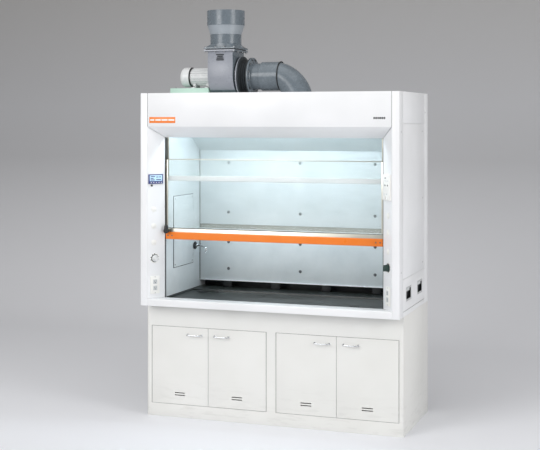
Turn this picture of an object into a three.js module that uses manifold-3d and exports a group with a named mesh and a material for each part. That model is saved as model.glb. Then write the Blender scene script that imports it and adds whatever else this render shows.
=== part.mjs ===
// Fume hood, 1800 mm wide, standing on a four-door cupboard, with its exhaust fan on the roof.
// Units are millimetres. +Z is up, the front looks towards -Y and X runs from left to right.
// The origin is at floor level, in the middle of the width and of the depth.

import * as THREE from "three";
import { mergeVertices } from "three/addons/utils/BufferGeometryUtils.js";
import Module from "manifold-3d";

const wasm = await Module();
wasm.setup();

// ---------------------------------------------------------------- driving dimensions

const WIDTH = 1800;
const DEPTH = 850;
const ROOF_TOP = 2214;
const DECK_TOP = 2180; // the roof deck lies below the edge of the side panels and header
const HALF = WIDTH / 2;
const FRONT = -DEPTH / 2;
const SHEET = 2; // folded sheet steel
const DOOR_SHEET = 1.5;
const GAP = 0.3; // clearance between pieces that touch

const BASE_SETBACK = 116;
const UPPER_BOTTOM = 771;
const SILL_TOP = 817;

const STRIP = 50; // front flange of each side panel
const SLANT_X = 82; // slanted post face: how far it runs in, and how far it runs back
const SLANT_Y = 107.2;
const HEADER_FOLD = 1987;
const HEADER_BOTTOM = 1913;
const HEADER_GAP = 2.5; // open joint between the header and its neighbours

const WORKTOP_TOP = 812;
const RECESS = 10;
const LINER_INNER = 777;
const LINER_THICK = 10;
const LINER_FRONT = 155;
const BAFFLE_DEPTH = 745;
const BAFFLE_THICK = 4;

const SASH_HALF = 788;
const PANE_HALF = 775;
const SASH_BOTTOM = 1216;
const SASH_RAIL = 75;
const SASH_PANE = 475;
const UPPER_RAIL_BOTTOM = 1615;
const UPPER_RAIL = 35;
const UPPER_PANE = 460;

const WIRE_X = 782;
const WIRE_DEPTH = 128;
const WIRE_RADIUS = 1.2;
const SHEAVE_RADIUS = 40;
const SHEAVE_Z = 2120;
const WEIGHT = { width: 48, depth: 56, height: 440, bottom: 1222 };

const DOOR_THICK = 18;
const DOOR_BOTTOM = 90;
const DOOR_TOP = 618;
const CUPBOARD_BOTTOM = 88;
const CUPBOARD_TOP = 620;
const STILE = 33; // half the middle stile
const CUPBOARD_OUTER = 870;
const DOOR_GAP = 3;
const PIVOT_INSET = 6;
const PIN_RADIUS = 3;

const FAN_DEPTH = 500;
const FAN_Z = 2337;
const CASING_LEFT = -553;
const CASING_RIGHT = -366;
const OUTLET_FRONT = 355;
const OUTLET_BACK = 575;
const CASING_TOP = 2512;
const DUCT_WALL = 4;
const BASE_TOP = 2257; // where the motor's foot stands
const SEAT_TOP = 2210; // where the casing stands

// The inlet duct, from the casing to the elbow that goes down through the roof deck. Its circles are
// centred on the fan axis, and its starts and ends are X.
const INLET = {
  neckRadius: 100,
  eyeRadius: 80,
  casingFlange: { start: -352, end: -343, radius: 141 },
  pipeFlange: { start: -273, end: -264, radius: 132 },
  pipeRadius: 92,
  sleeveStart: -195,
  sleeveRadius: 101,
  elbowStart: -62,
  elbowRadius: 98,
  bead: 104,
  bend: { x: -154, z: 2119, radius: 235 },
};

// ---------------------------------------------------------------- colours

const paint = (color, roughness = 0.45, metalness = 0) =>
  new THREE.MeshStandardMaterial({ color, roughness, metalness });

const WHITE = paint("#e8e9ec");
const BASE_WHITE = paint("#dededa");
const GALVANISED = paint("#b9bcc0", 0.4, 0.8);
const LINER_GREY = paint("#d7dde0", 0.5);
const RESIN_BLACK = paint("#3c403f", 0.35);
const GLASS = paint("#cfe6e2", 0.05);
const ALUMINIUM = paint("#c3c3bd", 0.35, 0.9);
const ORANGE = paint("#ef8226", 0.4);
const BLACK = paint("#202325", 0.5);
const CHROME = paint("#c9ccd0", 0.12, 1);
const STEEL = paint("#9a9da0", 0.3, 1);
const CAST_IRON = paint("#4b4d50", 0.6, 0.6);
const PLASTIC_WHITE = paint("#f2f2ee", 0.4);
const SCREEN_BLUE = paint("#5b86d8", 0.3);
const DARK_GREEN = paint("#1f3a34", 0.4);
const MINT = paint("#b8d8ca", 0.5);
const PVC_GREY = paint("#6b757c", 0.45);
const MOTOR_SILVER = paint("#d5d7d8", 0.35, 0.6);
const FLEX_BLACK = paint("#2b3236", 0.7);

// ---------------------------------------------------------------- small tools

const model = new THREE.Group();

/** Y of a point that lies `depth` behind the front plane. */
const back = (depth) => FRONT + depth;

/** Adds one named sub-part to a group and gives the mesh back. */
function add(name, geometry, material, parent = model) {
  const mesh = new THREE.Mesh(geometry, material);
  mesh.name = name;
  parent.add(mesh);
  return mesh;
}

/** A block between two corners. */
function block(x0, x1, y0, y1, z0, z1) {
  const shape = new THREE.BoxGeometry(x1 - x0, y1 - y0, z1 - z0);
  return shape.translate((x0 + x1) / 2, (y0 + y1) / 2, (z0 + z1) / 2);
}

function outline(points) {
  return new THREE.Shape(points.map(([a, b]) => new THREE.Vector2(a, b)));
}

/** An outline of [x, y] points raised from z0 to z1. */
function alongZ(points, z0, z1) {
  const options = { depth: z1 - z0, bevelEnabled: false };
  return new THREE.ExtrudeGeometry(outline(points), options).translate(0, 0, z0);
}

/** An outline of [y, z] points run from x0 to x1. */
function alongX(points, x0, x1) {
  const options = { depth: x1 - x0, bevelEnabled: false };
  const shape = new THREE.ExtrudeGeometry(outline(points), options);
  const turn = new THREE.Matrix4().makeBasis(
    new THREE.Vector3(0, 1, 0),
    new THREE.Vector3(0, 0, 1),
    new THREE.Vector3(1, 0, 0),
  );
  return shape.applyMatrix4(turn).translate(x0, 0, 0);
}

/** A bar with a round section between two heights. */
function rodZ(radius, x, y, z0, z1, sides = 12) {
  const rod = new THREE.CylinderGeometry(radius, radius, z1 - z0, sides);
  return rod.rotateX(Math.PI / 2).translate(x, y, (z0 + z1) / 2);
}

function rodY(radius, x, y0, y1, z, sides = 24) {
  const rod = new THREE.CylinderGeometry(radius, radius, y1 - y0, sides);
  return rod.translate(x, (y0 + y1) / 2, z);
}

function rodX(radius, x0, x1, y, z, sides = 32) {
  const rod = new THREE.CylinderGeometry(radius, radius, x1 - x0, sides);
  return rod.rotateZ(-Math.PI / 2).translate((x0 + x1) / 2, y, z);
}

function toSolid(geometry) {
  const bare = geometry.clone();
  bare.deleteAttribute("normal");
  bare.deleteAttribute("uv");
  const merged = mergeVertices(bare, 1e-4);
  const mesh = new wasm.Mesh({
    numProp: 3,
    vertProperties: new Float32Array(merged.attributes.position.array),
    triVerts: new Uint32Array(merged.index.array),
  });
  return new wasm.Manifold(mesh);
}

function toGeometry(solid) {
  const mesh = solid.getMesh();
  const geometry = new THREE.BufferGeometry();
  geometry.setAttribute("position", new THREE.BufferAttribute(mesh.vertProperties, 3));
  geometry.setIndex(new THREE.BufferAttribute(mesh.triVerts, 1));
  geometry.computeVertexNormals();
  return geometry;
}

/** Joins the first list of shapes and takes the second list away. */
function carve(keep, cut = []) {
  const whole = keep.map(toSolid).reduce((all, one) => all.add(one));
  return toGeometry(cut.map(toSolid).reduce((rest, one) => rest.subtract(one), whole));
}

/** A closed skin through rings of equally many points; the last ring joins the first. */
function ringSkin(rings) {
  const count = rings[0].length;
  const position = rings.flat().flatMap((p) => [p.x, p.y, p.z]);
  const index = [];
  rings.forEach((_, i) => {
    const here = i * count;
    const next = ((i + 1) % rings.length) * count;
    for (let k = 0; k < count; k += 1) {
      const m = (k + 1) % count;
      index.push(here + k, here + m, next + m, here + k, next + m, next + k);
    }
  });
  const geometry = new THREE.BufferGeometry();
  geometry.setAttribute("position", new THREE.Float32BufferAttribute(position, 3));
  geometry.setIndex(index);
  geometry.computeVertexNormals();
  return geometry;
}

const RING_SIDES = 24;

/** Points of a level circle, starting at a corner direction. */
function roundRing(x, y, z, radius) {
  return Array.from({ length: RING_SIDES }, (_, k) => {
    const angle = -Math.PI / 4 + (k / RING_SIDES) * 2 * Math.PI;
    return new THREE.Vector3(x + radius * Math.cos(angle), y + radius * Math.sin(angle), z);
  });
}

/** Points of a level rectangle that pair with roundRing. */
function squareRing(x, y, z, halfX, halfY) {
  const corners = [[1, -1], [1, 1], [-1, 1], [-1, -1]];
  const side = RING_SIDES / 4;
  return Array.from({ length: RING_SIDES }, (_, k) => {
    const from = corners[Math.floor(k / side)];
    const to = corners[(Math.floor(k / side) + 1) % 4];
    const share = (k % side) / side;
    const a = from[0] + (to[0] - from[0]) * share;
    const b = from[1] + (to[1] - from[1]) * share;
    return new THREE.Vector3(x + halfX * a, y + halfY * b, z);
  });
}

/** A hollow turned piece along X from a closed list of [x, radius] points. */
function turnedX(profile, y, z) {
  const rings = profile.map(([x, radius]) =>
    roundRing(0, 0, 0, radius).map((p) => new THREE.Vector3(x, y + p.x, z + p.y)),
  );
  return ringSkin(rings);
}

// ---------------------------------------------------------------- cupboard base

function buildBase() {
  const front = back(BASE_SETBACK);
  const inner = HALF - SHEET - GAP;
  const top = UPPER_BOTTOM - GAP;
  const frameDepth = 20;
  const rear = back(DEPTH) - SHEET;

  [-1, 1].forEach((side) => {
    const name = side < 0 ? "base_side_left" : "base_side_right";
    const x = side * (HALF - SHEET / 2);
    const shape = block(x - SHEET / 2, x + SHEET / 2, front, back(DEPTH), 0, top);
    add(name, shape, BASE_WHITE);
  });

  const openings = [-1, 1].map((side) => {
    const a = side * STILE;
    const b = side * CUPBOARD_OUTER;
    return block(
      Math.min(a, b), Math.max(a, b), front - 1, front + frameDepth + 1, CUPBOARD_BOTTOM, CUPBOARD_TOP,
    );
  });
  const pins = doorPlan().flatMap(({ pivotX }) => [
    rodZ(PIN_RADIUS, pivotX, front + PIVOT_INSET, CUPBOARD_BOTTOM - 4, DOOR_BOTTOM + 8),
    rodZ(PIN_RADIUS, pivotX, front + PIVOT_INSET, DOOR_TOP - 8, CUPBOARD_TOP + 4),
  ]);
  const frame = carve([block(-inner, inner, front, front + frameDepth, 0, top)], openings);
  const pocket = (x0, x1, z0, z1) => block(x0, x1, front + SHEET, front + frameDepth + 1, z0, z1);
  const edge = CUPBOARD_OUTER + SHEET;
  const pockets = [
    pocket(-inner + SHEET, inner - SHEET, CUPBOARD_TOP + SHEET, top - SHEET),
    pocket(-inner + SHEET, inner - SHEET, SHEET, CUPBOARD_BOTTOM - SHEET),
    pocket(-inner + SHEET, -edge, CUPBOARD_BOTTOM, CUPBOARD_TOP),
    pocket(edge, inner - SHEET, CUPBOARD_BOTTOM, CUPBOARD_TOP),
    pocket(SHEET - STILE, STILE - SHEET, CUPBOARD_BOTTOM, CUPBOARD_TOP),
  ];
  const folded = carve([frame], pockets);
  add("base_face_frame", carve([folded, ...pins]), BASE_WHITE);

  const inside = front + frameDepth + GAP;
  const shelf = block(-inner, inner, inside, rear - GAP, CUPBOARD_BOTTOM - 18, CUPBOARD_BOTTOM);
  const under = block(
    -inner + SHEET, inner - SHEET, inside + SHEET, rear - GAP - SHEET, 0, CUPBOARD_BOTTOM - SHEET,
  );
  add("base_bottom", carve([shelf], [under]), BASE_WHITE);
  const divider = [
    [-9, inside],
    [9, inside],
    [9, inside + SHEET],
    [SHEET - 9, inside + SHEET],
    [SHEET - 9, rear - GAP],
    [-9, rear - GAP],
  ];
  add("base_divider", alongZ(divider, CUPBOARD_BOTTOM + GAP, top), BASE_WHITE);
  add("base_back", block(-inner, inner, rear, back(DEPTH), 0, top), GALVANISED);
}

/** The four doors: which edge carries the pivots, and where the handle sits. */
function doorPlan() {
  const meeting = (STILE + CUPBOARD_OUTER) / 2;
  const plan = [
    { hinge: -CUPBOARD_OUTER, free: -meeting },
    { hinge: -STILE, free: -meeting },
    { hinge: STILE, free: meeting },
    { hinge: CUPBOARD_OUTER, free: meeting },
  ];
  return plan.map(({ hinge, free }) => {
    const towards = Math.sign(free - hinge);
    return {
      hingeEdge: hinge + towards * DOOR_GAP,
      freeEdge: free - towards * 1,
      pivotX: hinge + towards * (DOOR_GAP + PIVOT_INSET),
      handleX: free - towards * 98,
    };
  });
}

function buildDoors() {
  const front = back(BASE_SETBACK);
  const handleZ = 569;
  doorPlan().forEach(({ hingeEdge, freeEdge, pivotX, handleX }, i) => {
    const left = Math.min(hingeEdge, freeEdge);
    const right = Math.max(hingeEdge, freeEdge);
    const panel = block(left, right, front, front + DOOR_THICK, DOOR_BOTTOM, DOOR_TOP);
    const hollow = block(
      left + DOOR_SHEET, right - DOOR_SHEET, front + DOOR_SHEET, front + DOOR_THICK + 1,
      DOOR_BOTTOM + DOOR_SHEET, DOOR_TOP - DOOR_SHEET,
    );
    const bore = PIN_RADIUS + 0.4;
    const pinY = front + PIVOT_INSET;
    const holes = [
      rodZ(bore, pivotX, pinY, DOOR_BOTTOM - 1, DOOR_BOTTOM + 9),
      rodZ(bore, pivotX, pinY, DOOR_TOP - 9, DOOR_TOP + 1),
    ];
    add(`door_${i + 1}`, carve([panel], [hollow, ...holes]), BASE_WHITE);
    add(`door_handle_${i + 1}`, bowHandle(handleX, front - GAP, handleZ), CHROME);
  });
}

/** A bow handle standing off a door face. */
function bowHandle(x, y, z) {
  const half = 50;
  const reach = 30;
  const bend = 14;
  const route = new THREE.CurvePath();
  const at = (a, b) => new THREE.Vector3(x + a, y - b, z);
  route.add(new THREE.LineCurve3(at(-half, 0), at(-half, reach - bend)));
  route.add(new THREE.QuadraticBezierCurve3(at(-half, reach - bend), at(-half, reach), at(bend - half, reach)));
  route.add(new THREE.LineCurve3(at(bend - half, reach), at(half - bend, reach)));
  route.add(new THREE.QuadraticBezierCurve3(at(half - bend, reach), at(half, reach), at(half, reach - bend)));
  route.add(new THREE.LineCurve3(at(half, reach - bend), at(half, 0)));
  const section = new THREE.Shape();
  section.absarc(0, 0, 4.5, 0, 2 * Math.PI, false);
  return new THREE.ExtrudeGeometry(section, { steps: 14, extrudePath: route, curveSegments: 4 });
}

// ---------------------------------------------------------------- worktop, sill, sink and spout

const SINK = { x: -635, depth: 540, halfX: 70, halfY: 38, drop: 150 };

function ellipseZ(halfX, halfY, z0, z1) {
  const shape = new THREE.CylinderGeometry(1, 1, z1 - z0, 28);
  shape.rotateX(Math.PI / 2).scale(halfX, halfY, 1);
  return shape.translate(SINK.x, back(SINK.depth), (z0 + z1) / 2);
}

function buildWorktop() {
  const inner = HALF - SHEET - GAP;
  const front = back(SLANT_Y + GAP);
  const rear = back(DEPTH) - SHEET - GAP;
  const slab = block(-inner, inner, front, rear, UPPER_BOTTOM, WORKTOP_TOP);
  const recess = block(-765, 765, back(125), back(590), WORKTOP_TOP - RECESS, WORKTOP_TOP + 1);
  const hole = ellipseZ(SINK.halfX + GAP, SINK.halfY + GAP, UPPER_BOTTOM - 1, WORKTOP_TOP + 1);
  const apron = 40;
  const under = block(
    -inner + apron, inner - apron, front + apron, rear - apron, UPPER_BOTTOM - 1, WORKTOP_TOP - RECESS - 16,
  );
  add("worktop", carve([slab], [recess, hole, under]), RESIN_BLACK);

  const crown = 5;
  const sill = [
    [back(0), UPPER_BOTTOM],
    [back(SHEET), UPPER_BOTTOM],
    [back(SHEET), SILL_TOP - crown - 1],
    [back(crown + 1), SILL_TOP - SHEET],
    [back(SLANT_Y - SHEET), SILL_TOP - SHEET],
    [back(SLANT_Y - SHEET), UPPER_BOTTOM],
    [back(SLANT_Y), UPPER_BOTTOM],
    [back(SLANT_Y), SILL_TOP],
    [back(crown), SILL_TOP],
    [back(0), SILL_TOP - crown],
  ];
  add("front_sill", alongX(sill, -HALF + STRIP + GAP, HALF - STRIP - GAP), WHITE);

  const floor = WORKTOP_TOP - RECESS;
  const rim = ellipseZ(SINK.halfX + 10, SINK.halfY + 10, floor + GAP, floor + 4);
  const bowl = ellipseZ(SINK.halfX, SINK.halfY, floor - SINK.drop, floor + 2);
  const hollow = ellipseZ(SINK.halfX - 4, SINK.halfY - 4, floor - SINK.drop + 5, floor + 5);
  const drainY = back(SINK.depth);
  const drain = rodZ(19, SINK.x, drainY, floor - SINK.drop - 60, floor - SINK.drop + 2, 16);
  const drainBore = rodZ(14, SINK.x, drainY, floor - SINK.drop - 61, floor - SINK.drop + 6, 16);
  add("cup_sink", carve([rim, bowl, drain], [hollow, drainBore]), RESIN_BLACK);
}

function buildSpout() {
  const wallX = -LINER_INNER + GAP;
  const y = back(647);
  const z = 1120;
  const flange = rodX(28, wallX, wallX + 9, y, z, 20);
  const boss = rodX(12, wallX + 5, wallX + 22, y, z, 16);
  const route = new THREE.CatmullRomCurve3([
    new THREE.Vector3(wallX + 16, y, z),
    new THREE.Vector3(wallX + 45, y - 14, z + 2),
    new THREE.Vector3(wallX + 100, y - 62, z + 4),
    new THREE.Vector3(-656, back(562), z - 2),
    new THREE.Vector3(-652, back(559), z - 40),
  ]);
  const section = new THREE.Shape();
  section.absarc(0, 0, 7, 0, 2 * Math.PI, false);
  const tube = new THREE.ExtrudeGeometry(section, { steps: 16, extrudePath: route, curveSegments: 5 });
  add("water_spout", carve([flange, boss, tube]), CHROME);
}

// ---------------------------------------------------------------- cabinet shell

function buildShell() {
  const inner = HALF - SHEET - GAP;
  const rear = back(DEPTH) - SHEET;

  [-1, 1].forEach((side) => {
    const tail = side < 0 ? "left" : "right";
    const section = [
      [HALF, back(0)],
      [HALF, back(DEPTH)],
      [HALF - SHEET, back(DEPTH)],
      [HALF - SHEET, back(SHEET)],
      [HALF - STRIP, back(SHEET)],
      [HALF - STRIP, back(0)],
    ].map(([x, y]) => [side * x, y]);
    const sheet = alongZ(section, UPPER_BOTTOM, ROOF_TOP);
    add(`side_panel_${tail}`, carve([sheet, ...cupGrips(side, 0)], cupGrips(side, SHEET)), WHITE);
    add(`post_${tail}`, post(side), WHITE);
    const linerX = [side * LINER_INNER, side * (LINER_INNER + LINER_THICK)].sort((a, b) => a - b);
    const liner = block(
      linerX[0], linerX[1], back(LINER_FRONT), rear - GAP, WORKTOP_TOP + GAP, DECK_TOP - SHEET - GAP,
    );
    add(`liner_${tail}`, liner, LINER_GREY);
  });

  add("header_fascia", headerFascia(), WHITE);
  add("back_panel", block(-inner, inner, rear, back(DEPTH), UPPER_BOTTOM, ROOF_TOP), GALVANISED);

  const deck = block(-inner, inner, back(SHEET + GAP), rear - GAP, DECK_TOP - SHEET, DECK_TOP);
  const tabs = [-1, 1].map((side) => {
    const x = side * (WIRE_X + SHEAVE_RADIUS);
    return block(x - 20, x + 20, back(150), back(154), SHEAVE_Z - 30, DECK_TOP - SHEET / 2);
  });
  const bores = [-1, 1].map((side) =>
    rodY(6, side * (WIRE_X + SHEAVE_RADIUS), back(140), back(160), SHEAVE_Z, 20),
  );
  const holeRadius = INLET.elbowRadius - DUCT_WALL - 1;
  const exhaust = rodZ(holeRadius, elbowFootX(), back(FAN_DEPTH), DECK_TOP - 10, DECK_TOP + 10, 32);
  add("roof_panel", carve([deck, ...tabs], [...bores, exhaust]), GALVANISED);

  const lamp = block(-620, 620, back(180), back(290), DECK_TOP - 54, DECK_TOP - SHEET - GAP);
  add("lamp_unit", lamp, PLASTIC_WHITE);

  const wall = -LINER_INNER + GAP;
  add("access_panel_left", block(wall, wall + 3, back(275), back(613), 1001, 1497), LINER_GREY);
}

const GRIP = { depths: [258, 592], half: 78, low: 859, high: 950, deep: 24 };

/** Blocks of a side panel's two cup grips, drawn in by `wall` to make their hollows. */
function cupGrips(side, wall) {
  const outer = side * (HALF + (wall > 0 ? 1 : 0));
  const inner = side * (HALF - GRIP.deep + wall);
  const x = [inner, outer].sort((a, b) => a - b);
  return GRIP.depths.map((depth) =>
    block(
      x[0], x[1], back(depth - GRIP.half + wall), back(depth + GRIP.half - wall),
      GRIP.low + wall, GRIP.high - wall,
    ),
  );
}

/** The slanted front post: a folded sheet with a mitred top under the header. */
function post(side) {
  const lean = Math.hypot(SLANT_X, SLANT_Y);
  const outerX = HALF - STRIP - GAP;
  const innerX = HALF - STRIP - SLANT_X;
  const shiftX = (SHEET * SLANT_Y) / lean;
  const shiftY = (SHEET * SLANT_X) / lean;
  const section = [
    [outerX, back(0)],
    [outerX, back(shiftY + (shiftX * SLANT_Y) / SLANT_X)],
    [innerX + shiftX + (shiftY * SLANT_X) / SLANT_Y, back(SLANT_Y)],
    [innerX + 22, back(SLANT_Y)],
    [innerX + 22, back(SLANT_Y + SHEET)],
    [innerX, back(SLANT_Y + SHEET)],
    [innerX, back(SLANT_Y)],
  ].map(([x, y]) => [side * x, y]);
  const body = alongZ(section, SILL_TOP + GAP, HEADER_FOLD + 5);
  const fall = (HEADER_FOLD - HEADER_BOTTOM) / SLANT_Y;
  const above = [
    [back(-5), HEADER_FOLD + 5 * fall - GAP],
    [back(SLANT_Y + 10), HEADER_BOTTOM - 10 * fall - GAP],
    [back(SLANT_Y + 10), HEADER_FOLD + 40],
    [back(-5), HEADER_FOLD + 40],
  ];
  return carve([body], [alongX(above, -HALF, HALF)]);
}

/** Flat front of the header with its sloping lower edge, mitred to the posts. */
function headerFascia() {
  const reach = HALF - STRIP - HEADER_GAP;
  const drop = HEADER_FOLD - HEADER_BOTTOM;
  const lean = Math.hypot(drop, SLANT_Y);
  const riseY = (SHEET * drop) / lean;
  const riseZ = (SHEET * SLANT_Y) / lean;
  const section = [
    [back(0), ROOF_TOP],
    [back(0), HEADER_FOLD],
    [back(SLANT_Y), HEADER_BOTTOM],
    [back(SLANT_Y + SHEET), HEADER_BOTTOM],
    [back(SLANT_Y + SHEET), HEADER_BOTTOM + 24],
    [back(SLANT_Y), HEADER_BOTTOM + 24],
    [back(SLANT_Y), HEADER_BOTTOM + riseZ + (riseY * drop) / SLANT_Y],
    [back(SHEET), HEADER_FOLD + riseZ + ((riseY - SHEET) * drop) / SLANT_Y],
    [back(SHEET), ROOF_TOP],
  ];
  const mitres = [-1, 1].map((side) => {
    const at = (depth) => HALF - STRIP - HEADER_GAP - (SLANT_X * depth) / SLANT_Y;
    const wedge = [
      [at(-5), back(-5)],
      [HALF, back(-5)],
      [HALF, back(SLANT_Y + 10)],
      [at(SLANT_Y), back(SLANT_Y + 10)],
      [at(SLANT_Y), back(SLANT_Y)],
    ].map(([x, y]) => [side * x, y]);
    return alongZ(wedge, HEADER_BOTTOM - 10, HEADER_FOLD);
  });
  return carve([alongX(section, -reach, reach)], mitres);
}

function buildBaffles() {
  const reach = LINER_INNER - GAP;
  const near = back(BAFFLE_DEPTH);
  const far = near + BAFFLE_THICK;
  add("baffle_lower", block(-reach, reach, near, far, 860, 1240), LINER_GREY);
  add("baffle_upper", block(-reach, reach, near, far, 1272, 1811), LINER_GREY);
  const top = [
    [near, 1811 + GAP],
    [far, 1811 + GAP],
    [far, 1815],
    [back(332), 2081],
    [back(330), 2077],
    [near, 1812],
  ];
  add("baffle_top", alongX(top, -reach, reach), LINER_GREY);
}

// ---------------------------------------------------------------- sashes and their balance

function buildSashes() {
  const railBack = 136;
  const railTop = SASH_BOTTOM + SASH_RAIL;
  const rail = [
    [back(120), SASH_BOTTOM],
    [back(railBack), SASH_BOTTOM],
    [back(railBack), railTop],
    [back(122), railTop],
    [back(120), railTop - 4],
  ];
  add("sash_bottom_rail", alongX(rail, -SASH_HALF, SASH_HALF), ALUMINIUM);
  const pane = block(
    -PANE_HALF, PANE_HALF, back(125), back(131), railTop + GAP, railTop + SASH_PANE,
  );
  add("sash_glass", pane, GLASS);

  const grip = [
    [back(119.7), SASH_BOTTOM],
    [back(119.7), SASH_BOTTOM + 50],
    [back(115), SASH_BOTTOM + 50],
    [back(111.8), SASH_BOTTOM + 46],
    [back(111.8), SASH_BOTTOM + 4],
    [back(115), SASH_BOTTOM],
  ];
  add("sash_handle", alongX(grip, -764, 764), ORANGE);
  add("sash_latch", sashLatch(), BLACK);

  const upperBottom = UPPER_RAIL_BOTTOM;
  const upperTop = upperBottom + UPPER_RAIL;
  const upperRail = [
    [back(138), upperBottom + 3],
    [back(141), upperBottom],
    [back(150), upperBottom],
    [back(150), upperTop],
    [back(138), upperTop],
  ];
  add("upper_sash_rail", alongX(upperRail, -SASH_HALF, SASH_HALF), WHITE);
  const upperPane = block(
    -PANE_HALF, PANE_HALF, back(140.5), back(146.5), upperTop + GAP, upperTop + UPPER_PANE,
  );
  add("upper_sash_glass", upperPane, GLASS);
}

const LATCH = { x: -748, z: 1274 };

/** A thumb lever with a wide foot, turning on a stud that stands on the sash rail. */
function sashLatch() {
  const { x, z } = LATCH;
  const half = new THREE.Shape();
  half.moveTo(x - 17, z);
  half.absarc(x, z, 17, Math.PI, 0, false);
  half.lineTo(x + 9, z + 30);
  half.absarc(x, z + 32, 9, 0, Math.PI, false);
  half.lineTo(x - 17, z);
  const lever = new THREE.ExtrudeGeometry(half, { depth: 22, bevelEnabled: false, curveSegments: 10 });
  const turn = new THREE.Matrix4().makeBasis(
    new THREE.Vector3(1, 0, 0),
    new THREE.Vector3(0, 0, 1),
    new THREE.Vector3(0, -1, 0),
  );
  lever.applyMatrix4(turn).translate(0, back(96), 0);
  const stud = rodY(7, x, back(94), back(119.7), z + 3, 16);
  return carve([lever, stud]);
}

function buildBalance() {
  const weightTop = WEIGHT.bottom + WEIGHT.height;
  const railTop = SASH_BOTTOM + SASH_RAIL;
  [-1, 1].forEach((side) => {
    const tail = side < 0 ? "left" : "right";
    const centre = side * (WIRE_X + SHEAVE_RADIUS);
    const weightX = side * (WIRE_X + 2 * SHEAVE_RADIUS);
    const y = back(WIRE_DEPTH);
    const weight = block(
      weightX - WEIGHT.width / 2, weightX + WEIGHT.width / 2,
      y - WEIGHT.depth / 2, y + WEIGHT.depth / 2, WEIGHT.bottom, weightTop,
    );
    add(`counterweight_${tail}`, weight, CAST_IRON);
    add(`sheave_${tail}`, sheave(centre), STEEL);
    add(`sash_wire_${tail}`, sashWire(side, railTop + GAP, weightTop + GAP), STEEL);
  });
}

/** A grooved pulley with its axle, which runs in the bore of the roof's tab. */
function sheave(x) {
  const profile = [
    [0, -5.5],
    [43, -5.5],
    [43, -3.5],
    [38, -2],
    [38, 2],
    [43, 3.5],
    [43, 5.5],
    [5, 5.5],
    [5, 30],
    [0, 30],
  ].map(([radius, y]) => new THREE.Vector2(radius, y));
  return new THREE.LatheGeometry(profile, 28).translate(x, back(WIRE_DEPTH), SHEAVE_Z);
}

/** The sash wire: up from the sash, over its pulley and down to the weight. */
function sashWire(side, sashEnd, weightEnd) {
  const y = back(WIRE_DEPTH);
  const at = (x, z) => new THREE.Vector3(side * x, y, z);
  const centreX = WIRE_X + SHEAVE_RADIUS;
  const route = [at(WIRE_X, sashEnd), at(WIRE_X, SHEAVE_Z)];
  const steps = 12;
  for (let k = 1; k < steps; k += 1) {
    const angle = Math.PI - (k / steps) * Math.PI;
    const x = centreX + SHEAVE_RADIUS * Math.cos(angle);
    route.push(at(x, SHEAVE_Z + SHEAVE_RADIUS * Math.sin(angle)));
  }
  const far = WIRE_X + 2 * SHEAVE_RADIUS;
  route.push(at(far, SHEAVE_Z), at(far, weightEnd));
  return polyTube(route, WIRE_RADIUS, 6);
}

/** A solid round wire through points that lie in one XZ plane. */
function polyTube(points, radius, sides) {
  const position = [];
  const index = [];
  points.forEach((point, i) => {
    const before = points[Math.max(i - 1, 0)];
    const after = points[Math.min(i + 1, points.length - 1)];
    const along = after.clone().sub(before).normalize();
    const across = new THREE.Vector3(0, 1, 0);
    const third = along.clone().cross(across);
    for (let k = 0; k < sides; k += 1) {
      const angle = (k / sides) * 2 * Math.PI;
      const offset = across.clone().multiplyScalar(Math.cos(angle) * radius);
      offset.addScaledVector(third, Math.sin(angle) * radius);
      position.push(...point.clone().add(offset).toArray());
    }
  });
  for (let i = 0; i + 1 < points.length; i += 1) {
    for (let k = 0; k < sides; k += 1) {
      const a = i * sides + k;
      const b = i * sides + ((k + 1) % sides);
      index.push(a, b, b + sides, a, b + sides, a + sides);
    }
  }
  const last = (points.length - 1) * sides;
  for (let k = 1; k + 1 < sides; k += 1) {
    index.push(0, k + 1, k, last, last + k, last + k + 1);
  }
  const geometry = new THREE.BufferGeometry();
  geometry.setAttribute("position", new THREE.Float32BufferAttribute(position, 3));
  geometry.setIndex(index);
  geometry.computeVertexNormals();
  return geometry;
}

// ---------------------------------------------------------------- controls on the slanted posts

/** A group whose X runs across the post face, Y runs up and Z points out of it. */
function postFace(side) {
  const across = new THREE.Vector3(SLANT_X, -side * SLANT_Y, 0).normalize();
  const up = new THREE.Vector3(0, 0, 1);
  const out = across.clone().cross(up).normalize();
  const group = new THREE.Group();
  const turn = new THREE.Matrix4().makeBasis(across, up, out);
  group.quaternion.setFromRotationMatrix(turn);
  group.position.set(side * (HALF - STRIP - SLANT_X / 2), back(SLANT_Y / 2), 0);
  model.add(group);
  return group;
}

const VALVE = { height: 1089, across: 10 };
const OUTLET = { width: 70, height: 120, centre: 909 };
const SWITCHES = { width: 115, height: 164, centre: 1602, button: 22, row: 1533, spacing: 41 };

function buildControls() {
  [-1, 1].forEach((side) => {
    const tail = side < 0 ? "left" : "right";
    const face = postFace(side);
    const shift = side * VALVE.across;
    add(`valve_knob_${tail}`, valveKnob(shift), side < 0 ? MOTOR_SILVER : DARK_GREEN, face);
    const plate = block(
      shift - OUTLET.width / 2, shift + OUTLET.width / 2,
      OUTLET.centre - OUTLET.height / 2, OUTLET.centre + OUTLET.height / 2, GAP, 6,
    );
    add(`outlet_${tail}`, plate, PLASTIC_WHITE, face);
    if (side < 0) {
      buildMonitor(face);
    } else {
      buildSwitches(face);
    }
  });
}

function buildMonitor(face) {
  const body = block(-60, 50, 1597, 1662, GAP, 9);
  add("airflow_monitor", body, SCREEN_BLUE, face);
}

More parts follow.
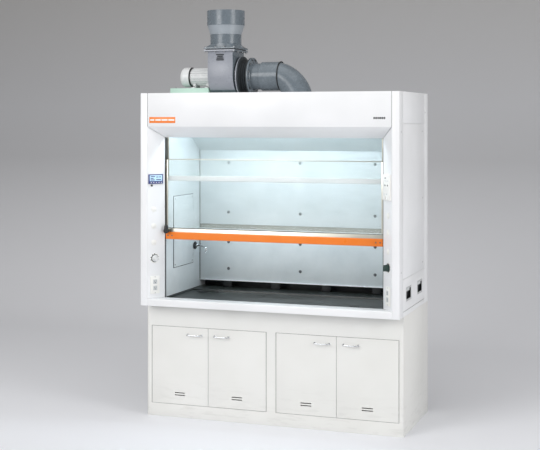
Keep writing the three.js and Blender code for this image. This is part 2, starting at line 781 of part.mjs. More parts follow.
function buildSwitches(face) {
  const { width, height, centre, button, row, spacing } = SWITCHES;
  const plate = block(-width / 2, width / 2, centre - height / 2, centre + height / 2, GAP, 10);
  const half = button / 2;
  const wells = [-1, 1].map((side) => {
    const x = (side * spacing) / 2;
    return block(x - half - 0.5, x + half + 0.5, row - half - 0.5, row + half + 0.5, 2.5, 12);
  });
  add("switch_panel", carve([plate], wells), PLASTIC_WHITE, face);
  ["fan_button", "light_button"].forEach((name, i) => {
    const x = ((i * 2 - 1) * spacing) / 2;
    add(name, block(x - half, x + half, row - half, row + half, 6, 14), PLASTIC_WHITE, face);
  });
}

/** A remote-control valve knob: a round skirt with a raised grip bar. */
function valveKnob(x) {
  const y = VALVE.height;
  const skirt = new THREE.CylinderGeometry(22, 26, 14, 28).rotateX(Math.PI / 2);
  skirt.translate(x, y, GAP + 7);
  const hub = new THREE.CylinderGeometry(15, 17, 18, 24).rotateX(Math.PI / 2);
  hub.translate(x, y, GAP + 21);
  const grip = block(x - 5, x + 5, y - 20, y + 20, GAP + 12, GAP + 34);
  return carve([skirt, hub, grip]);
}

// ---------------------------------------------------------------- fan and duct on the roof

/** Outline of the scroll in the YZ plane, grown outward by `grow`. */
function scrollOutline(grow, top) {
  const centre = { y: back(FAN_DEPTH), z: FAN_Z };
  const points = [];
  const steps = 20;
  const start = 35;
  const end = -180;
  for (let k = 0; k <= steps; k += 1) {
    const share = k / steps;
    const angle = THREE.MathUtils.degToRad(start + (end - start) * share);
    const radius = 92 + 52 * share + grow;
    points.push([centre.y + radius * Math.cos(angle), centre.z + radius * Math.sin(angle)]);
  }
  points.push([back(OUTLET_FRONT) + 4 - grow, FAN_Z + 60]);
  points.push([back(OUTLET_FRONT) + 4 - grow, top]);
  points.push([back(OUTLET_BACK) - 4 + grow, top]);
  return points.reverse();
}

function buildFan() {
  const deckTop = DECK_TOP + GAP;
  const seat = { left: -855, step: -562, right: -372, wall: 3, front: back(390), rear: back(610) };
  const seatBlock = (x0, x1, top, wall) =>
    block(x0 + wall, x1 - wall, seat.front + wall, seat.rear - wall, deckTop - wall, top - wall);
  const solid = [
    seatBlock(seat.left, seat.step, BASE_TOP, 0),
    seatBlock(seat.step - 1, seat.right, SEAT_TOP, 0),
  ];
  const hollow = [
    seatBlock(seat.left, seat.step, BASE_TOP, seat.wall),
    seatBlock(seat.step, seat.right, SEAT_TOP, seat.wall),
  ];
  add("fan_base", carve(solid, hollow), MINT);

  const flangeHalf = { x: 115, y: 133 };
  const flangeThick = 10;
  const ductX = (CASING_LEFT + CASING_RIGHT) / 2;
  const ductY = back((OUTLET_FRONT + OUTLET_BACK) / 2);
  const wall = DUCT_WALL;
  const y = back(FAN_DEPTH);
  const shell = alongX(scrollOutline(wall, CASING_TOP + 6), CASING_LEFT, CASING_RIGHT);
  const bore = alongX(scrollOutline(0, CASING_TOP + 40), CASING_LEFT + wall, CASING_RIGHT - wall);
  const topFlange = block(
    ductX - flangeHalf.x, ductX + flangeHalf.x, ductY - flangeHalf.y, ductY + flangeHalf.y,
    CASING_TOP, CASING_TOP + flangeThick,
  );
  const { neckRadius, eyeRadius, casingFlange } = INLET;
  const neck = rodX(neckRadius, CASING_RIGHT - 2, casingFlange.start + 1, y, FAN_Z);
  const neckFlange = rodX(casingFlange.radius, casingFlange.start, casingFlange.end, y, FAN_Z, 40);
  const eye = rodX(eyeRadius, CASING_RIGHT - 10, casingFlange.end + 5, y, FAN_Z);
  const shaftHole = rodX(14, CASING_LEFT - 5, CASING_LEFT + 10, y, FAN_Z, 20);
  const casing = carve([shell, topFlange, neck, neckFlange], [bore, eye, shaftHole]);
  add("scroll_casing", casing, PVC_GREY);

  add("impeller", impeller(), MOTOR_SILVER);
  add("fan_motor", motor(BASE_TOP + GAP), MOTOR_SILVER);
  add("outlet_duct", outletDuct(ductX, ductY, CASING_TOP + flangeThick + GAP, flangeHalf), PVC_GREY);
  buildInlet();
}

/** Squirrel-cage wheel on its shaft, which runs back into the motor. */
function impeller() {
  const y = back(FAN_DEPTH);
  const blades = 16;
  const bladeLow = 63;
  const bladeHigh = 77;
  const rimRadius = 80;
  const shaftRadius = 8;
  const hubRadius = 18;
  const start = CASING_LEFT + 22;
  const end = CASING_RIGHT - 30;
  const plateThick = 5;
  const ringWide = 8;
  const shaft = rodX(shaftRadius, CASING_LEFT - 45, start + 30, y, FAN_Z, 16);
  const plate = rodX(rimRadius - 2, start, start + plateThick, y, FAN_Z, 32);
  const hub = rodX(hubRadius, start - 4, start + 24, y, FAN_Z, 16);
  const rim = rodX(rimRadius, end - ringWide, end, y, FAN_Z, 32);
  const mouth = rodX(bladeLow - 1, end - ringWide - 2, end + 2, y, FAN_Z, 32);
  const vanes = Array.from({ length: blades }, (_, k) => {
    const vane = block(start + 2, end - 3, -1.5, 1.5, bladeLow, bladeHigh);
    return vane.rotateX((k / blades) * 2 * Math.PI).translate(0, y, FAN_Z);
  });
  return carve([shaft, plate, hub, carve([rim], [mouth]), ...vanes]);
}

const MOTOR = {
  left: -805,
  cowlEnd: -732,
  cowl: 70,
  body: 60,
  rib: 64,
  ribCount: 20,
  ribThick: 3,
  bore: 8.6,
  foot: { left: -720, right: -600, half: 60, height: 42 },
  box: { left: -700, right: -620, near: 50, far: 92, half: 30 },
};

/** Motor with cooling ribs, a rear cowl, a terminal box and a foot on the fan base. */
function motor(footBottom) {
  const y = back(FAN_DEPTH);
  const face = CASING_LEFT - GAP;
  const body = rodX(MOTOR.body, MOTOR.cowlEnd + 5, face - 6, y, FAN_Z, 32);
  const shield = rodX(MOTOR.cowl - 4, face - 16, face, y, FAN_Z, 32);
  const cowl = rodX(MOTOR.cowl, MOTOR.left, MOTOR.cowlEnd, y, FAN_Z, 32);
  const neck = rodX(MOTOR.body - 4, MOTOR.cowlEnd - 5, MOTOR.cowlEnd + 10, y, FAN_Z, 32);
  const ribs = Array.from({ length: MOTOR.ribCount }, (_, k) => {
    const half = MOTOR.ribThick / 2;
    const rib = block(MOTOR.cowlEnd + 8, face - 20, -half, half, MOTOR.body - 6, MOTOR.rib);
    return rib.rotateX(((k + 0.5) / MOTOR.ribCount) * 2 * Math.PI).translate(0, y, FAN_Z);
  });
  const { foot: base, box } = MOTOR;
  const foot = block(base.left, base.right, y - base.half, y + base.half, footBottom, footBottom + base.height);
  const terminals = block(box.left, box.right, y + box.near, y + box.far, FAN_Z - box.half, FAN_Z + box.half);
  const bore = rodX(MOTOR.bore, CASING_LEFT - 50, face + 5, y, FAN_Z, 20);
  return carve([body, shield, cowl, neck, ...ribs, foot, terminals], [bore]);
}

const OUTLET_PIPE = {
  neck: 108.5,
  neckLow: 2566,
  neckHigh: 2632,
  socket: 132.7,
  socketLow: 2698,
  top: 2800,
};

/** Gasket, square flange, square-to-round piece, sleeve, reducer and socket in one hollow body. */
function outletDuct(x, y, z, flangeHalf) {
  const wall = DUCT_WALL;
  const { neck, neckLow, neckHigh, socket, socketLow, top } = OUTLET_PIPE;
  const halfX = (CASING_RIGHT - CASING_LEFT) / 2;
  const halfY = (OUTLET_BACK - OUTLET_FRONT) / 2;
  const gasket = 6;
  const inset = 16;
  const flangeTop = z + gasket + 10;
  const outer = [
    squareRing(x, y, z, flangeHalf.x - inset, flangeHalf.y - inset),
    squareRing(x, y, z + gasket, flangeHalf.x - inset, flangeHalf.y - inset),
    squareRing(x, y, z + gasket + 0.2, flangeHalf.x, flangeHalf.y),
    squareRing(x, y, flangeTop, flangeHalf.x, flangeHalf.y),
    squareRing(x, y, flangeTop + 0.2, halfX, halfY),
    roundRing(x, y, neckLow, neck),
    roundRing(x, y, neckHigh, neck),
    roundRing(x, y, socketLow - 8, socket - 2),
    roundRing(x, y, socketLow, socket),
    roundRing(x, y, top, socket),
  ];
  const inner = [
    roundRing(x, y, top, socket - wall),
    roundRing(x, y, socketLow - 4, socket - wall - 2),
    roundRing(x, y, neckHigh, neck - wall),
    roundRing(x, y, neckLow, neck - wall),
    squareRing(x, y, flangeTop - 3, halfX - wall, halfY - wall),
    squareRing(x, y, z, halfX - wall, halfY - wall),
  ];
  return ringSkin([...outer, ...inner]);
}

/** The flexible joint between the casing and the inlet pipe: two flanges with bellows between. */
function flexibleJoint(start, end) {
  const { casingFlange, pipeFlange, eyeRadius } = INLET;
  const plate = 8;
  const crest = 110;
  const valley = 100;
  const profile = [
    [start, casingFlange.radius],
    [start + plate, casingFlange.radius],
    [start + plate + 0.2, crest],
  ];
  const waves = 3;
  const pitch = (end - start - 2 * plate) / waves;
  for (let k = 0; k < waves; k += 1) {
    const from = start + plate + k * pitch;
    profile.push([from + pitch * 0.5, valley], [from + pitch * 0.9, crest]);
  }
  profile.push(
    [end - plate, pipeFlange.radius],
    [end, pipeFlange.radius],
    [end, eyeRadius],
    [start, eyeRadius],
  );
  return turnedX(profile, back(FAN_DEPTH), FAN_Z);
}

/** The flanged inlet pipe with its wider sleeve. */
function inletPipe(start, end) {
  const { pipeFlange, pipeRadius, sleeveStart, sleeveRadius } = INLET;
  const inside = pipeRadius - DUCT_WALL;
  return turnedX(
    [
      [start, pipeFlange.radius],
      [pipeFlange.end, pipeFlange.radius],
      [pipeFlange.end + 0.2, pipeRadius],
      [sleeveStart, pipeRadius],
      [sleeveStart + 3, sleeveRadius],
      [end, sleeveRadius],
      [end, inside],
      [start, inside],
    ],
    back(FAN_DEPTH),
    FAN_Z,
  );
}

/** X where the elbow's centre line meets the roof deck. */
function elbowFootX() {
  const { x, z, radius } = INLET.bend;
  return x + Math.sqrt(radius ** 2 - (DECK_TOP - z) ** 2);
}

/** A long-radius elbow from the inlet pipe down to a collar on the deck. */
function inletElbow() {
  const { elbowStart, elbowRadius, bead, bend } = INLET;
  const y = back(FAN_DEPTH);
  const inside = elbowRadius - DUCT_WALL;
  const collarTop = DECK_TOP + GAP + 8;
  const straight = (x, radius) =>
    roundRing(0, 0, 0, radius).map((p) => new THREE.Vector3(x, y + p.x, FAN_Z + p.y));
  const from = Math.asin((elbowStart + 6 - bend.x) / bend.radius);
  const to = Math.acos((collarTop - bend.z) / bend.radius);
  // The rings turn from upright at the pipe to level at the deck.
  const section = (share, radius) => {
    const place = from + (to - from) * share;
    const tilt = (share * Math.PI) / 2;
    const cx = bend.x + bend.radius * Math.sin(place);
    const cz = bend.z + bend.radius * Math.cos(place);
    return roundRing(0, 0, 0, radius).map(
      (p) => new THREE.Vector3(cx + p.y * Math.sin(tilt), y + p.x, cz + p.y * Math.cos(tilt)),
    );
  };
  const foot = (z, radius) =>
    roundRing(0, 0, 0, radius).map((p) => new THREE.Vector3(elbowFootX() + p.y, y + p.x, z));
  const steps = 10;
  const outer = [straight(elbowStart, bead), straight(elbowStart + 6, bead)];
  const inner = [];
  for (let k = 0; k <= steps; k += 1) {
    outer.push(section(k / steps, elbowRadius));
    inner.unshift(section(k / steps, inside));
  }
  outer.push(foot(collarTop - 0.2, elbowRadius + 22), foot(DECK_TOP + GAP, elbowRadius + 22));
  inner.unshift(foot(DECK_TOP + GAP, inside));
  inner.push(straight(elbowStart, inside));
  return ringSkin([...outer, ...inner]);
}

function buildInlet() {
  const { casingFlange, pipeFlange, elbowStart } = INLET;
  add("inlet_joint", flexibleJoint(casingFlange.end + GAP, pipeFlange.start), FLEX_BLACK);
  add("inlet_pipe", inletPipe(pipeFlange.start + GAP, elbowStart - GAP), PVC_GREY);
  add("inlet_elbow", inletElbow(), PVC_GREY);
}

// ---------------------------------------------------------------- assembly

buildBase();
buildDoors();
buildWorktop();
buildSpout();
buildShell();
buildBaffles();
buildSashes();
buildBalance();
buildControls();
buildFan();

export default model;
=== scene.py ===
"""Looks of a bench fume hood: cupboard base, sash cabinet, controls and roof fan.

Each sub-assembly is a class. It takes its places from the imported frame, builds the pieces that
need a finer surface than the frame has, and dresses the others with the finish of the real thing.
Lengths are in metres; sizes known in millimetres are turned with MM. X runs from left to right,
Y from front to back and Z up.
"""

from __future__ import annotations

import logging
import math
from collections.abc import Iterable, Sequence
from dataclasses import dataclass
from enum import Enum

import bmesh
import bpy
from mathutils import Euler, Matrix, Vector

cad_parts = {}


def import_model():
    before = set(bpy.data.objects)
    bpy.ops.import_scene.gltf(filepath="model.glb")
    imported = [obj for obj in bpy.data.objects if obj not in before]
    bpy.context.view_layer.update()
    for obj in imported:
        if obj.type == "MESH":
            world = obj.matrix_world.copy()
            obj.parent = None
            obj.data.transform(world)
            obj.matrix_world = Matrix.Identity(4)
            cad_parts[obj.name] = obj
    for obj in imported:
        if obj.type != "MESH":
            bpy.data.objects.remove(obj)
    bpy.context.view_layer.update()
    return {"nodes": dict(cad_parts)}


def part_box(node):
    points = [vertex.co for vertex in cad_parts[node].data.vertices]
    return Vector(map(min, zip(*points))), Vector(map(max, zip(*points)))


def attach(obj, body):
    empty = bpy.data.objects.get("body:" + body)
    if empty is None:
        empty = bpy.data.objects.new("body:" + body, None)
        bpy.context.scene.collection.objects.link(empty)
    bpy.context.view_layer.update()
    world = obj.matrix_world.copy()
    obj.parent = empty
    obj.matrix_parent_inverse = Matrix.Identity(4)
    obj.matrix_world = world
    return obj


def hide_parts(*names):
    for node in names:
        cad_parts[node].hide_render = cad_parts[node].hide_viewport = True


LOG = logging.getLogger("fume_hood")
MM = 0.001
CREASE = math.radians(32)

Point = Sequence[float]


# ---------------------------------------------------------------- shapes


class Axis(Enum):
    """A direction of the frame, with the two directions that lie across it."""

    X = (1, 2, 0)
    Y = (2, 0, 1)
    Z = (0, 1, 2)

    def at(self, across: float, up: float, along: float) -> Vector:
        """A point from its two places across the axis and its place along it."""
        point = Vector((0.0, 0.0, 0.0))
        for index, value in zip(self.value, (across, up, along)):
            point[index] = value
        return point

    def turned(self, radius: float, angle: float, along: float) -> Vector:
        """A point at a radius and an angle round the axis."""
        return self.at(radius * math.cos(angle), radius * math.sin(angle), along)


class Shape:
    """Closed solids gathered in one mesh."""

    def __init__(self) -> None:
        """Starts empty."""
        self.mesh = bmesh.new()

    def _ease(self, verts: Iterable[bmesh.types.BMVert], width: float, steps: int, shortest: float) -> None:
        """Rounds the sharp edges at these corners, but not those under `shortest`."""
        edges = {edge for vert in verts for edge in vert.link_edges}
        sharp = [e for e in edges if e.calc_face_angle(0.0) > CREASE and e.calc_length() > shortest]
        bmesh.ops.bevel(
            self.mesh,
            geom=sharp,
            offset=width,
            segments=steps,
            profile=0.5,
            affect="EDGES",
            clamp_overlap=True,
        )

    def _skin(self, rings: Sequence[Sequence[bmesh.types.BMVert]], round_trip: bool) -> None:
        """Joins rings of points with faces; an open run is capped at both ends."""
        pairs = list(zip(rings, rings[1:]))
        if round_trip:
            pairs.append((rings[-1], rings[0]))
        for one, two in pairs:
            count = max(len(one), len(two))
            for k in range(count):
                m = (k + 1) % count
                corners = [one[k % len(one)], one[m % len(one)], two[m % len(two)], two[k % len(two)]]
                unique = list(dict.fromkeys(corners))
                if len(unique) > 2:
                    self.mesh.faces.new(unique)
        if not round_trip:
            for cap in (rings[0], rings[-1]):
                if len(cap) > 2:
                    self.mesh.faces.new(cap)

    def block(self, low: Point, high: Point, ease: float = 0.0, steps: int = 2) -> Shape:
        """Adds a block.

        Args:
            low: One corner.
            high: The opposite corner.
            ease: Radius of its rounded edges.
            steps: Facets across a rounded edge.

        Returns:
            The shape itself.
        """
        a, b = Vector(low), Vector(high)
        size = Vector([abs(s) for s in b - a])
        matrix = Matrix.LocRotScale((a + b) / 2, None, size)
        made = bmesh.ops.create_cube(self.mesh, size=1.0, matrix=matrix)["verts"]
        if ease:
            self._ease(made, ease, steps, 0.0)
        return self

    def prism(
        self, outline: Sequence[Point], axis: Axis, start: float, end: float, ease: float = 0.0
    ) -> Shape:
        """Adds an outline run along an axis.

        Args:
            outline: Points as places on the two directions across the axis.
            axis: Direction of the run.
            start: Where the run starts.
            end: Where the run ends.
            ease: Radius of its rounded edges.

        Returns:
            The shape itself.
        """
        near = [self.mesh.verts.new(axis.at(a, b, start)) for a, b in outline]
        far = [self.mesh.verts.new(axis.at(a, b, end)) for a, b in outline]
        self._skin([near, far], round_trip=False)
        if ease:
            self._ease(near + far, ease, 2, 0.0)
        return self

    def loft(self, rings: Sequence[Sequence[Vector]], round_trip: bool = False) -> Shape:
        """Adds a skin through rings of equally many points, or of one point at a tip."""
        self._skin([[self.mesh.verts.new(p) for p in ring] for ring in rings], round_trip)
        return self

    def lathe(
        self, profile: Sequence[Point], axis: Axis, centre: Point, sides: int = 48, round_trip: bool = False
    ) -> Shape:
        """Adds a turned solid.

        Args:
            profile: Points as a place along the axis and a radius.
            axis: Axis of turning.
            centre: A point on the axis, from which the places count.
            sides: Facets round the axis.
            round_trip: Whether the last point joins the first, as in a hollow piece.

        Returns:
            The shape itself.
        """
        rings = []
        for along, radius in profile:
            count = sides if radius > 1e-7 else 1
            angles = [2 * math.pi * (k + 0.5) / sides for k in range(count)]
            rings.append([Vector(centre) + axis.turned(radius, t, along) for t in angles])
        return self.loft(rings, round_trip)

    def drum(
        self,
        axis: Axis,
        centre: Point,
        radius: float,
        start: float,
        end: float,
        ease: float = 0.0,
        sides: int = 40,
    ) -> Shape:
        """Adds a solid round bar with chamfered ends."""
        profile = [(start, 0.0), (start, radius - ease), (end, radius - ease), (end, 0.0)]
        if ease:
            profile[2:2] = [(start + ease, radius), (end - ease, radius)]
        return self.lathe(profile, axis, centre, sides)

    def pipe(
        self,
        axis: Axis,
        centre: Point,
        outer: float,
        inner: float,
        start: float,
        end: float,
        sides: int = 48,
    ) -> Shape:
        """Adds a hollow round bar with softened rims."""
        soft = min(1.0 * MM, (outer - inner) / 4)
        profile = [(start, inner), (start, outer - soft), (start + soft, outer)]
        profile += [(end - soft, outer), (end, outer - soft), (end, inner)]
        return self.lathe(profile, axis, centre, sides, round_trip=True)

    def tube(self, path: Sequence[Vector], radius: float, sides: int = 16) -> Shape:
        """Adds a solid round bar along a path."""
        rings = []
        across = None
        for i, point in enumerate(path):
            ahead = (path[min(i + 1, len(path) - 1)] - path[max(i - 1, 0)]).normalized()
            if across is None:
                across = ahead.orthogonal().normalized()
            across = (across - ahead * across.dot(ahead)).normalized()
            third = ahead.cross(across)
            angles = [2 * math.pi * k / sides for k in range(sides)]
            rings.append([point + (across * math.cos(t) + third * math.sin(t)) * radius for t in angles])
        return self.loft(rings)

    def bolt(self, axis: Axis, seat: Point, radius: float, out: float) -> Shape:
        """Adds a hexagon head on a washer, standing out of its seat; `out` is 1 or -1."""
        rim, top = radius * 1.5, radius * 1.3
        self.lathe([(0, 0), (0, rim), (out * radius * 0.3, rim), (out * radius * 0.3, 0)], axis, seat, 20)
        head = [(0, 0), (0, radius), (out * top * 0.85, radius), (out * top, radius * 0.82), (out * top, 0)]
        return self.lathe(head, axis, seat, 6)

    def dome(self, axis: Axis, seat: Point, radius: float, out: float) -> Shape:
        """Adds a domed head standing out of its seat; `out` is its height over its radius, with a sign."""
        steps = 6
        profile = [(0.0, 0.0)]
        for k in range(steps):
            angle = (k / steps) * math.pi / 2
            profile.append((out * radius * math.sin(angle), radius * math.cos(angle)))
        profile.append((out * radius, 0.0))
        return self.lathe(profile, axis, seat, 20)

    def copy_of(self, node: bpy.types.Object, ease: float, steps: int = 2, shortest: float = 0.0) -> Shape:
        """Adds a frame node's own solid with its edges rounded.

        Args:
            node: The frame's object.
            ease: Radius of the rounded edges.
            steps: Facets across a rounded edge.
            shortest: Edges under this length stay sharp.

        Returns:
            The shape itself.
        """
        self.mesh.from_mesh(node.data)
        bmesh.ops.remove_doubles(self.mesh, verts=self.mesh.verts, dist=1e-6)
        bmesh.ops.dissolve_limit(
            self.mesh, angle_limit=math.radians(0.5), verts=self.mesh.verts, edges=self.mesh.edges
        )
        if ease:
            self._ease(list(self.mesh.verts), ease, steps, shortest)
        return self

    def move(self, matrix: Matrix) -> Shape:
        """Moves everything made so far."""
        bmesh.ops.transform(self.mesh, matrix=matrix, verts=self.mesh.verts)
        return self

    def finish(self, name: str, crease: float = CREASE) -> bpy.types.Object:
        """Turns the shape into an object with smooth faces and crisp sharp edges."""
        bmesh.ops.recalc_face_normals(self.mesh, faces=self.mesh.faces)
        data = bpy.data.meshes.new(name)
        self.mesh.to_mesh(data)
        self.mesh.free()
        data.polygons.foreach_set("use_smooth", [True] * len(data.polygons))
        data.set_sharp_from_angle(angle=crease)
        piece = bpy.data.objects.new(name, data)
        bpy.context.scene.collection.objects.link(piece)
        return piece


def cut_through(piece: bpy.types.Object, cutter: Shape) -> None:
    """Takes a shape away from a piece and leaves plain mesh data behind."""
    tool = cutter.finish(f"{piece.name}_cutter")
    change = piece.modifiers.new("cut", "BOOLEAN")
    change.object = tool
    change.solver = "EXACT"
    bpy.context.view_layer.update()
    done = bpy.data.meshes.new_from_object(piece.evaluated_get(bpy.context.evaluated_depsgraph_get()))
    piece.modifiers.clear()
    piece.data = done
    done.set_sharp_from_angle(angle=CREASE)
    bpy.data.objects.remove(tool)


def stadium(length: float, height: float, centre: Point = (0.0, 0.0), steps: int = 8) -> list[Point]:
    """Outline of a slot with round ends, its length along the first direction."""
    radius = height / 2
    points = []
    for end in (1, -1):
        for k in range(steps + 1):
            angle = math.pi * (k / steps - 0.5)
            u = end * (length / 2 - radius + radius * math.cos(angle))
            points.append((centre[0] + u, centre[1] + end * radius * math.sin(angle)))
    return points


def quarter_bend(
    corner: Vector, back: Vector, ahead: Vector, radius: float, steps: int = 8
) -> list[Vector]:
    """Points of a bend at the corner of two straight runs.

    Args:
        corner: Where the two runs would meet.
        back: Direction from the corner along the first run.
        ahead: Direction from the corner along the second run.
        radius: Distance from the corner to where the bend starts and ends.
        steps: Chords in the bend.

    Returns:
        Points from the start of the bend to its end.
    """
    points = []
    for k in range(steps + 1):
        t = k / steps
        points.append(corner + back * radius * (1 - t) ** 2 + ahead * radius * t**2)
    return points


def level_ring(centre: Point, half_x: float, half_y: float, count: int = 48) -> list[Vector]:
    """Points of a level oval."""
    angles = [2 * math.pi * k / count for k in range(count)]
    return [
        Vector((centre[0] + half_x * math.cos(t), centre[1] + half_y * math.sin(t), centre[2])) for t in angles
    ]


def level_rectangle(centre: Point, half_x: float, half_y: float, count: int = 48) -> list[Vector]:
    """Points of a level rectangle that pair with those of `level_ring`."""
    points = []
    for k in range(count):
        angle = 2 * math.pi * k / count
        reach = 1 / max(abs(math.cos(angle)), abs(math.sin(angle)))
        points.append(
            Vector(
                (
                    centre[0] + half_x * reach * math.cos(angle),
                    centre[1] + half_y * reach * math.sin(angle),
                    centre[2],
                )
            )
        )
    return points


# ---------------------------------------------------------------- finishes


def linear(code: str) -> tuple[float, float, float, float]:
    """Turns an sRGB hex colour into linear values."""
    parts = [int(code[i : i + 2], 16) / 255 for i in (1, 3, 5)]
    red, green, blue = (c / 12.92 if c <= 0.04045 else ((c + 0.055) / 1.055) ** 2.4 for c in parts)
    return (red, green, blue, 1.0)


def add_node(
    tree: bpy.types.NodeTree,
    kind: str,
    settings: dict[str | int, object] | None = None,
    links: dict[str | int, bpy.types.NodeSocket] | None = None,
) -> bpy.types.Node:
    """Adds one node.

    Args:
        tree: Tree that takes the node.
        kind: Type name of the node.
        settings: Attributes by name, and input values by socket name or number.
        links: Sockets that feed the inputs.

    Returns:
        The new node.
    """
    node = tree.nodes.new(kind)
    for key, value in (settings or {}).items():
        if isinstance(key, str) and hasattr(node, key):
            setattr(node, key, value)
        else:
            node.inputs[key].default_value = value
    for key, socket in (links or {}).items():
        tree.links.new(socket, node.inputs[key])
    return node


def pattern(
    tree: bpy.types.NodeTree, size_mm: float, stretch: Point = (1.0, 1.0, 1.0), detail: float = 3.0
) -> bpy.types.NodeSocket:
    """A noise whose blotches are about `size_mm` across, and longer where `stretch` is below 1."""
    place = add_node(tree, "ShaderNodeTexCoord").outputs["Object"]
    scale = tuple(s / (size_mm * MM) for s in stretch)
    spread = add_node(tree, "ShaderNodeMapping", {"Scale": scale}, {"Vector": place})
    noise = add_node(
        tree,
        "ShaderNodeTexNoise",
        {"Scale": 1.0, "Detail": detail, "Roughness": 0.55},
        {"Vector": spread.outputs["Vector"]},
    )
    return noise.outputs["Fac"]


def remap(
    tree: bpy.types.NodeTree, source: bpy.types.NodeSocket, bounds: Point, result: Point
) -> bpy.types.NodeSocket:
    """Maps a value from one range to another, held at both ends."""
    settings = {"From Min": bounds[0], "From Max": bounds[1], "To Min": result[0], "To Max": result[1]}
    return add_node(tree, "ShaderNodeMapRange", settings, {"Value": source}).outputs["Result"]


def blend_colours(
    tree: bpy.types.NodeTree, factor: bpy.types.NodeSocket, one: str | bpy.types.NodeSocket, two: str
) -> bpy.types.NodeSocket:
    """Mixes a hex colour or a socket `one` with the hex colour `two` by a factor."""
    settings: dict[str | int, object] = {"data_type": "RGBA", 7: linear(two)}
    links: dict[str | int, bpy.types.NodeSocket] = {0: factor}
    if isinstance(one, str):
        settings[6] = linear(one)
    else:
        links[6] = one
    return add_node(tree, "ShaderNodeMix", settings, links).outputs[2]


def relief(
    tree: bpy.types.NodeTree, height: bpy.types.NodeSocket, strength: float, depth_mm: float
) -> bpy.types.NodeSocket:
    """A bumped normal from a height pattern."""
    settings = {"Strength": strength, "Distance": depth_mm * MM}
    return add_node(tree, "ShaderNodeBump", settings, {"Height": height}).outputs["Normal"]


@dataclass(frozen=True)
class Finish:
    """What a surface is made of. Each kind of finish fills in `shade`."""

    name: str
    slot: str
    colour: str

    def material(self) -> bpy.types.Material:
        """The finish as a material, made once."""
        known = bpy.data.materials.get(self.name)
        if known:
            return known
        made = bpy.data.materials.new(self.name)
        made.use_nodes = True
        made.node_tree.nodes.clear()
        shader = self.shade(made.node_tree)
        add_node(made.node_tree, "ShaderNodeOutputMaterial", links={"Surface": shader.outputs[0]})
        return made

    def shade(self, tree: bpy.types.NodeTree) -> bpy.types.Node:
        """Builds the surface shader."""
        raise NotImplementedError


@dataclass(frozen=True)
class PowderCoat(Finish):
    """Polyester powder coat baked on folded steel: a satin skin with a soft orange-peel ripple."""

    tint: str = "#dcdedf"
    roughness: float = 0.42
    dust_top: float = 0.0

    def shade(self, tree: bpy.types.NodeTree) -> bpy.types.Node:
        """A cloudy tone, uneven gloss, the ripple, and floor dust below `dust_top`."""
        cloud = remap(tree, pattern(tree, 420.0, detail=2.0), (0.35, 0.7), (0.0, 0.4))
        colour = blend_colours(tree, cloud, self.colour, self.tint)
        if self.dust_top:
            colour = self._dust(tree, colour)
        rough = remap(tree, pattern(tree, 60.0), (0.3, 0.7), (self.roughness - 0.05, self.roughness + 0.07))
        # The real ripple is about 2 mm across; it is drawn at 7 mm so that it shows.
        ripple = relief(tree, pattern(tree, 7.0, detail=2.0), 0.2, 0.12)
        return add_node(
            tree,
            "ShaderNodeBsdfPrincipled",
            {"IOR": 1.5, "Coat Weight": 0.1, "Coat Roughness": 0.25},
            {"Base Color": colour, "Roughness": rough, "Normal": ripple},
        )

    def _dust(self, tree: bpy.types.NodeTree, colour: bpy.types.NodeSocket) -> bpy.types.NodeSocket:
        """Streaky grey rubs from mops and shoes, thickest at the floor."""
        place = add_node(tree, "ShaderNodeTexCoord").outputs["Object"]
        height = add_node(tree, "ShaderNodeSeparateXYZ", links={"Vector": place}).outputs["Z"]
        low = remap(tree, height, (0.0, self.dust_top), (0.3, 0.0))
        streak = remap(tree, pattern(tree, 70.0, (0.5, 0.5, 2.5), 4.0), (0.52, 0.72), (0.0, 1.0))
        both = add_node(tree, "ShaderNodeMath", {"operation": "MULTIPLY"}, {0: low, 1: streak})
        return blend_colours(tree, both.outputs[0], colour, "#b3b2ad")


@dataclass(frozen=True)
class LinerBoard(Finish):
    """Compact laminate board, pressed smooth: hard, faintly mottled and slightly glossy."""

    tint: str = "#c8d0d3"

    def shade(self, tree: bpy.types.NodeTree) -> bpy.types.Node:
        """Mottling, wiping marks that change the gloss, and a shallow pressed grain."""
        mottle = remap(tree, pattern(tree, 180.0, detail=4.0), (0.35, 0.7), (0.0, 0.5))
        colour = blend_colours(tree, mottle, self.colour, self.tint)
        rough = remap(tree, pattern(tree, 90.0, (0.4, 1.0, 1.0)), (0.3, 0.7), (0.3, 0.44))
        grain = relief(tree, pattern(tree, 9.0), 0.12, 0.1)
        return add_node(
            tree,
            "ShaderNodeBsdfPrincipled",
            {"IOR": 1.53},
            {"Base Color": colour, "Roughness": rough, "Normal": grain},
        )


@dataclass(frozen=True)
class EpoxyResin(Finish):
    """Cast epoxy resin: near-black with pale mineral specks and a soft sheen."""

    def shade(self, tree: bpy.types.NodeTree) -> bpy.types.Node:
        """Specks, wiping marks and a fine cast grain."""
        # Mineral specks are under 1 mm; they are drawn at 4 mm so that they show.
        specks = remap(tree, pattern(tree, 4.0, detail=1.0), (0.6, 0.72), (0.0, 0.3))
        colour = blend_colours(tree, specks, self.colour, "#666a67")
        wiped = remap(tree, pattern(tree, 260.0, (0.6, 1.0, 1.0)), (0.4, 0.7), (0.0, 0.18))
        colour = blend_colours(tree, wiped, colour, "#4a4e4b")
        rough = remap(tree, pattern(tree, 200.0, (0.6, 1.0, 1.0)), (0.3, 0.7), (0.26, 0.36))
        grain = relief(tree, pattern(tree, 2.5), 0.2, 0.08)
        return add_node(
            tree,
            "ShaderNodeBsdfPrincipled",
            {"IOR": 1.55},
            {"Base Color": colour, "Roughness": rough, "Normal": grain},
        )


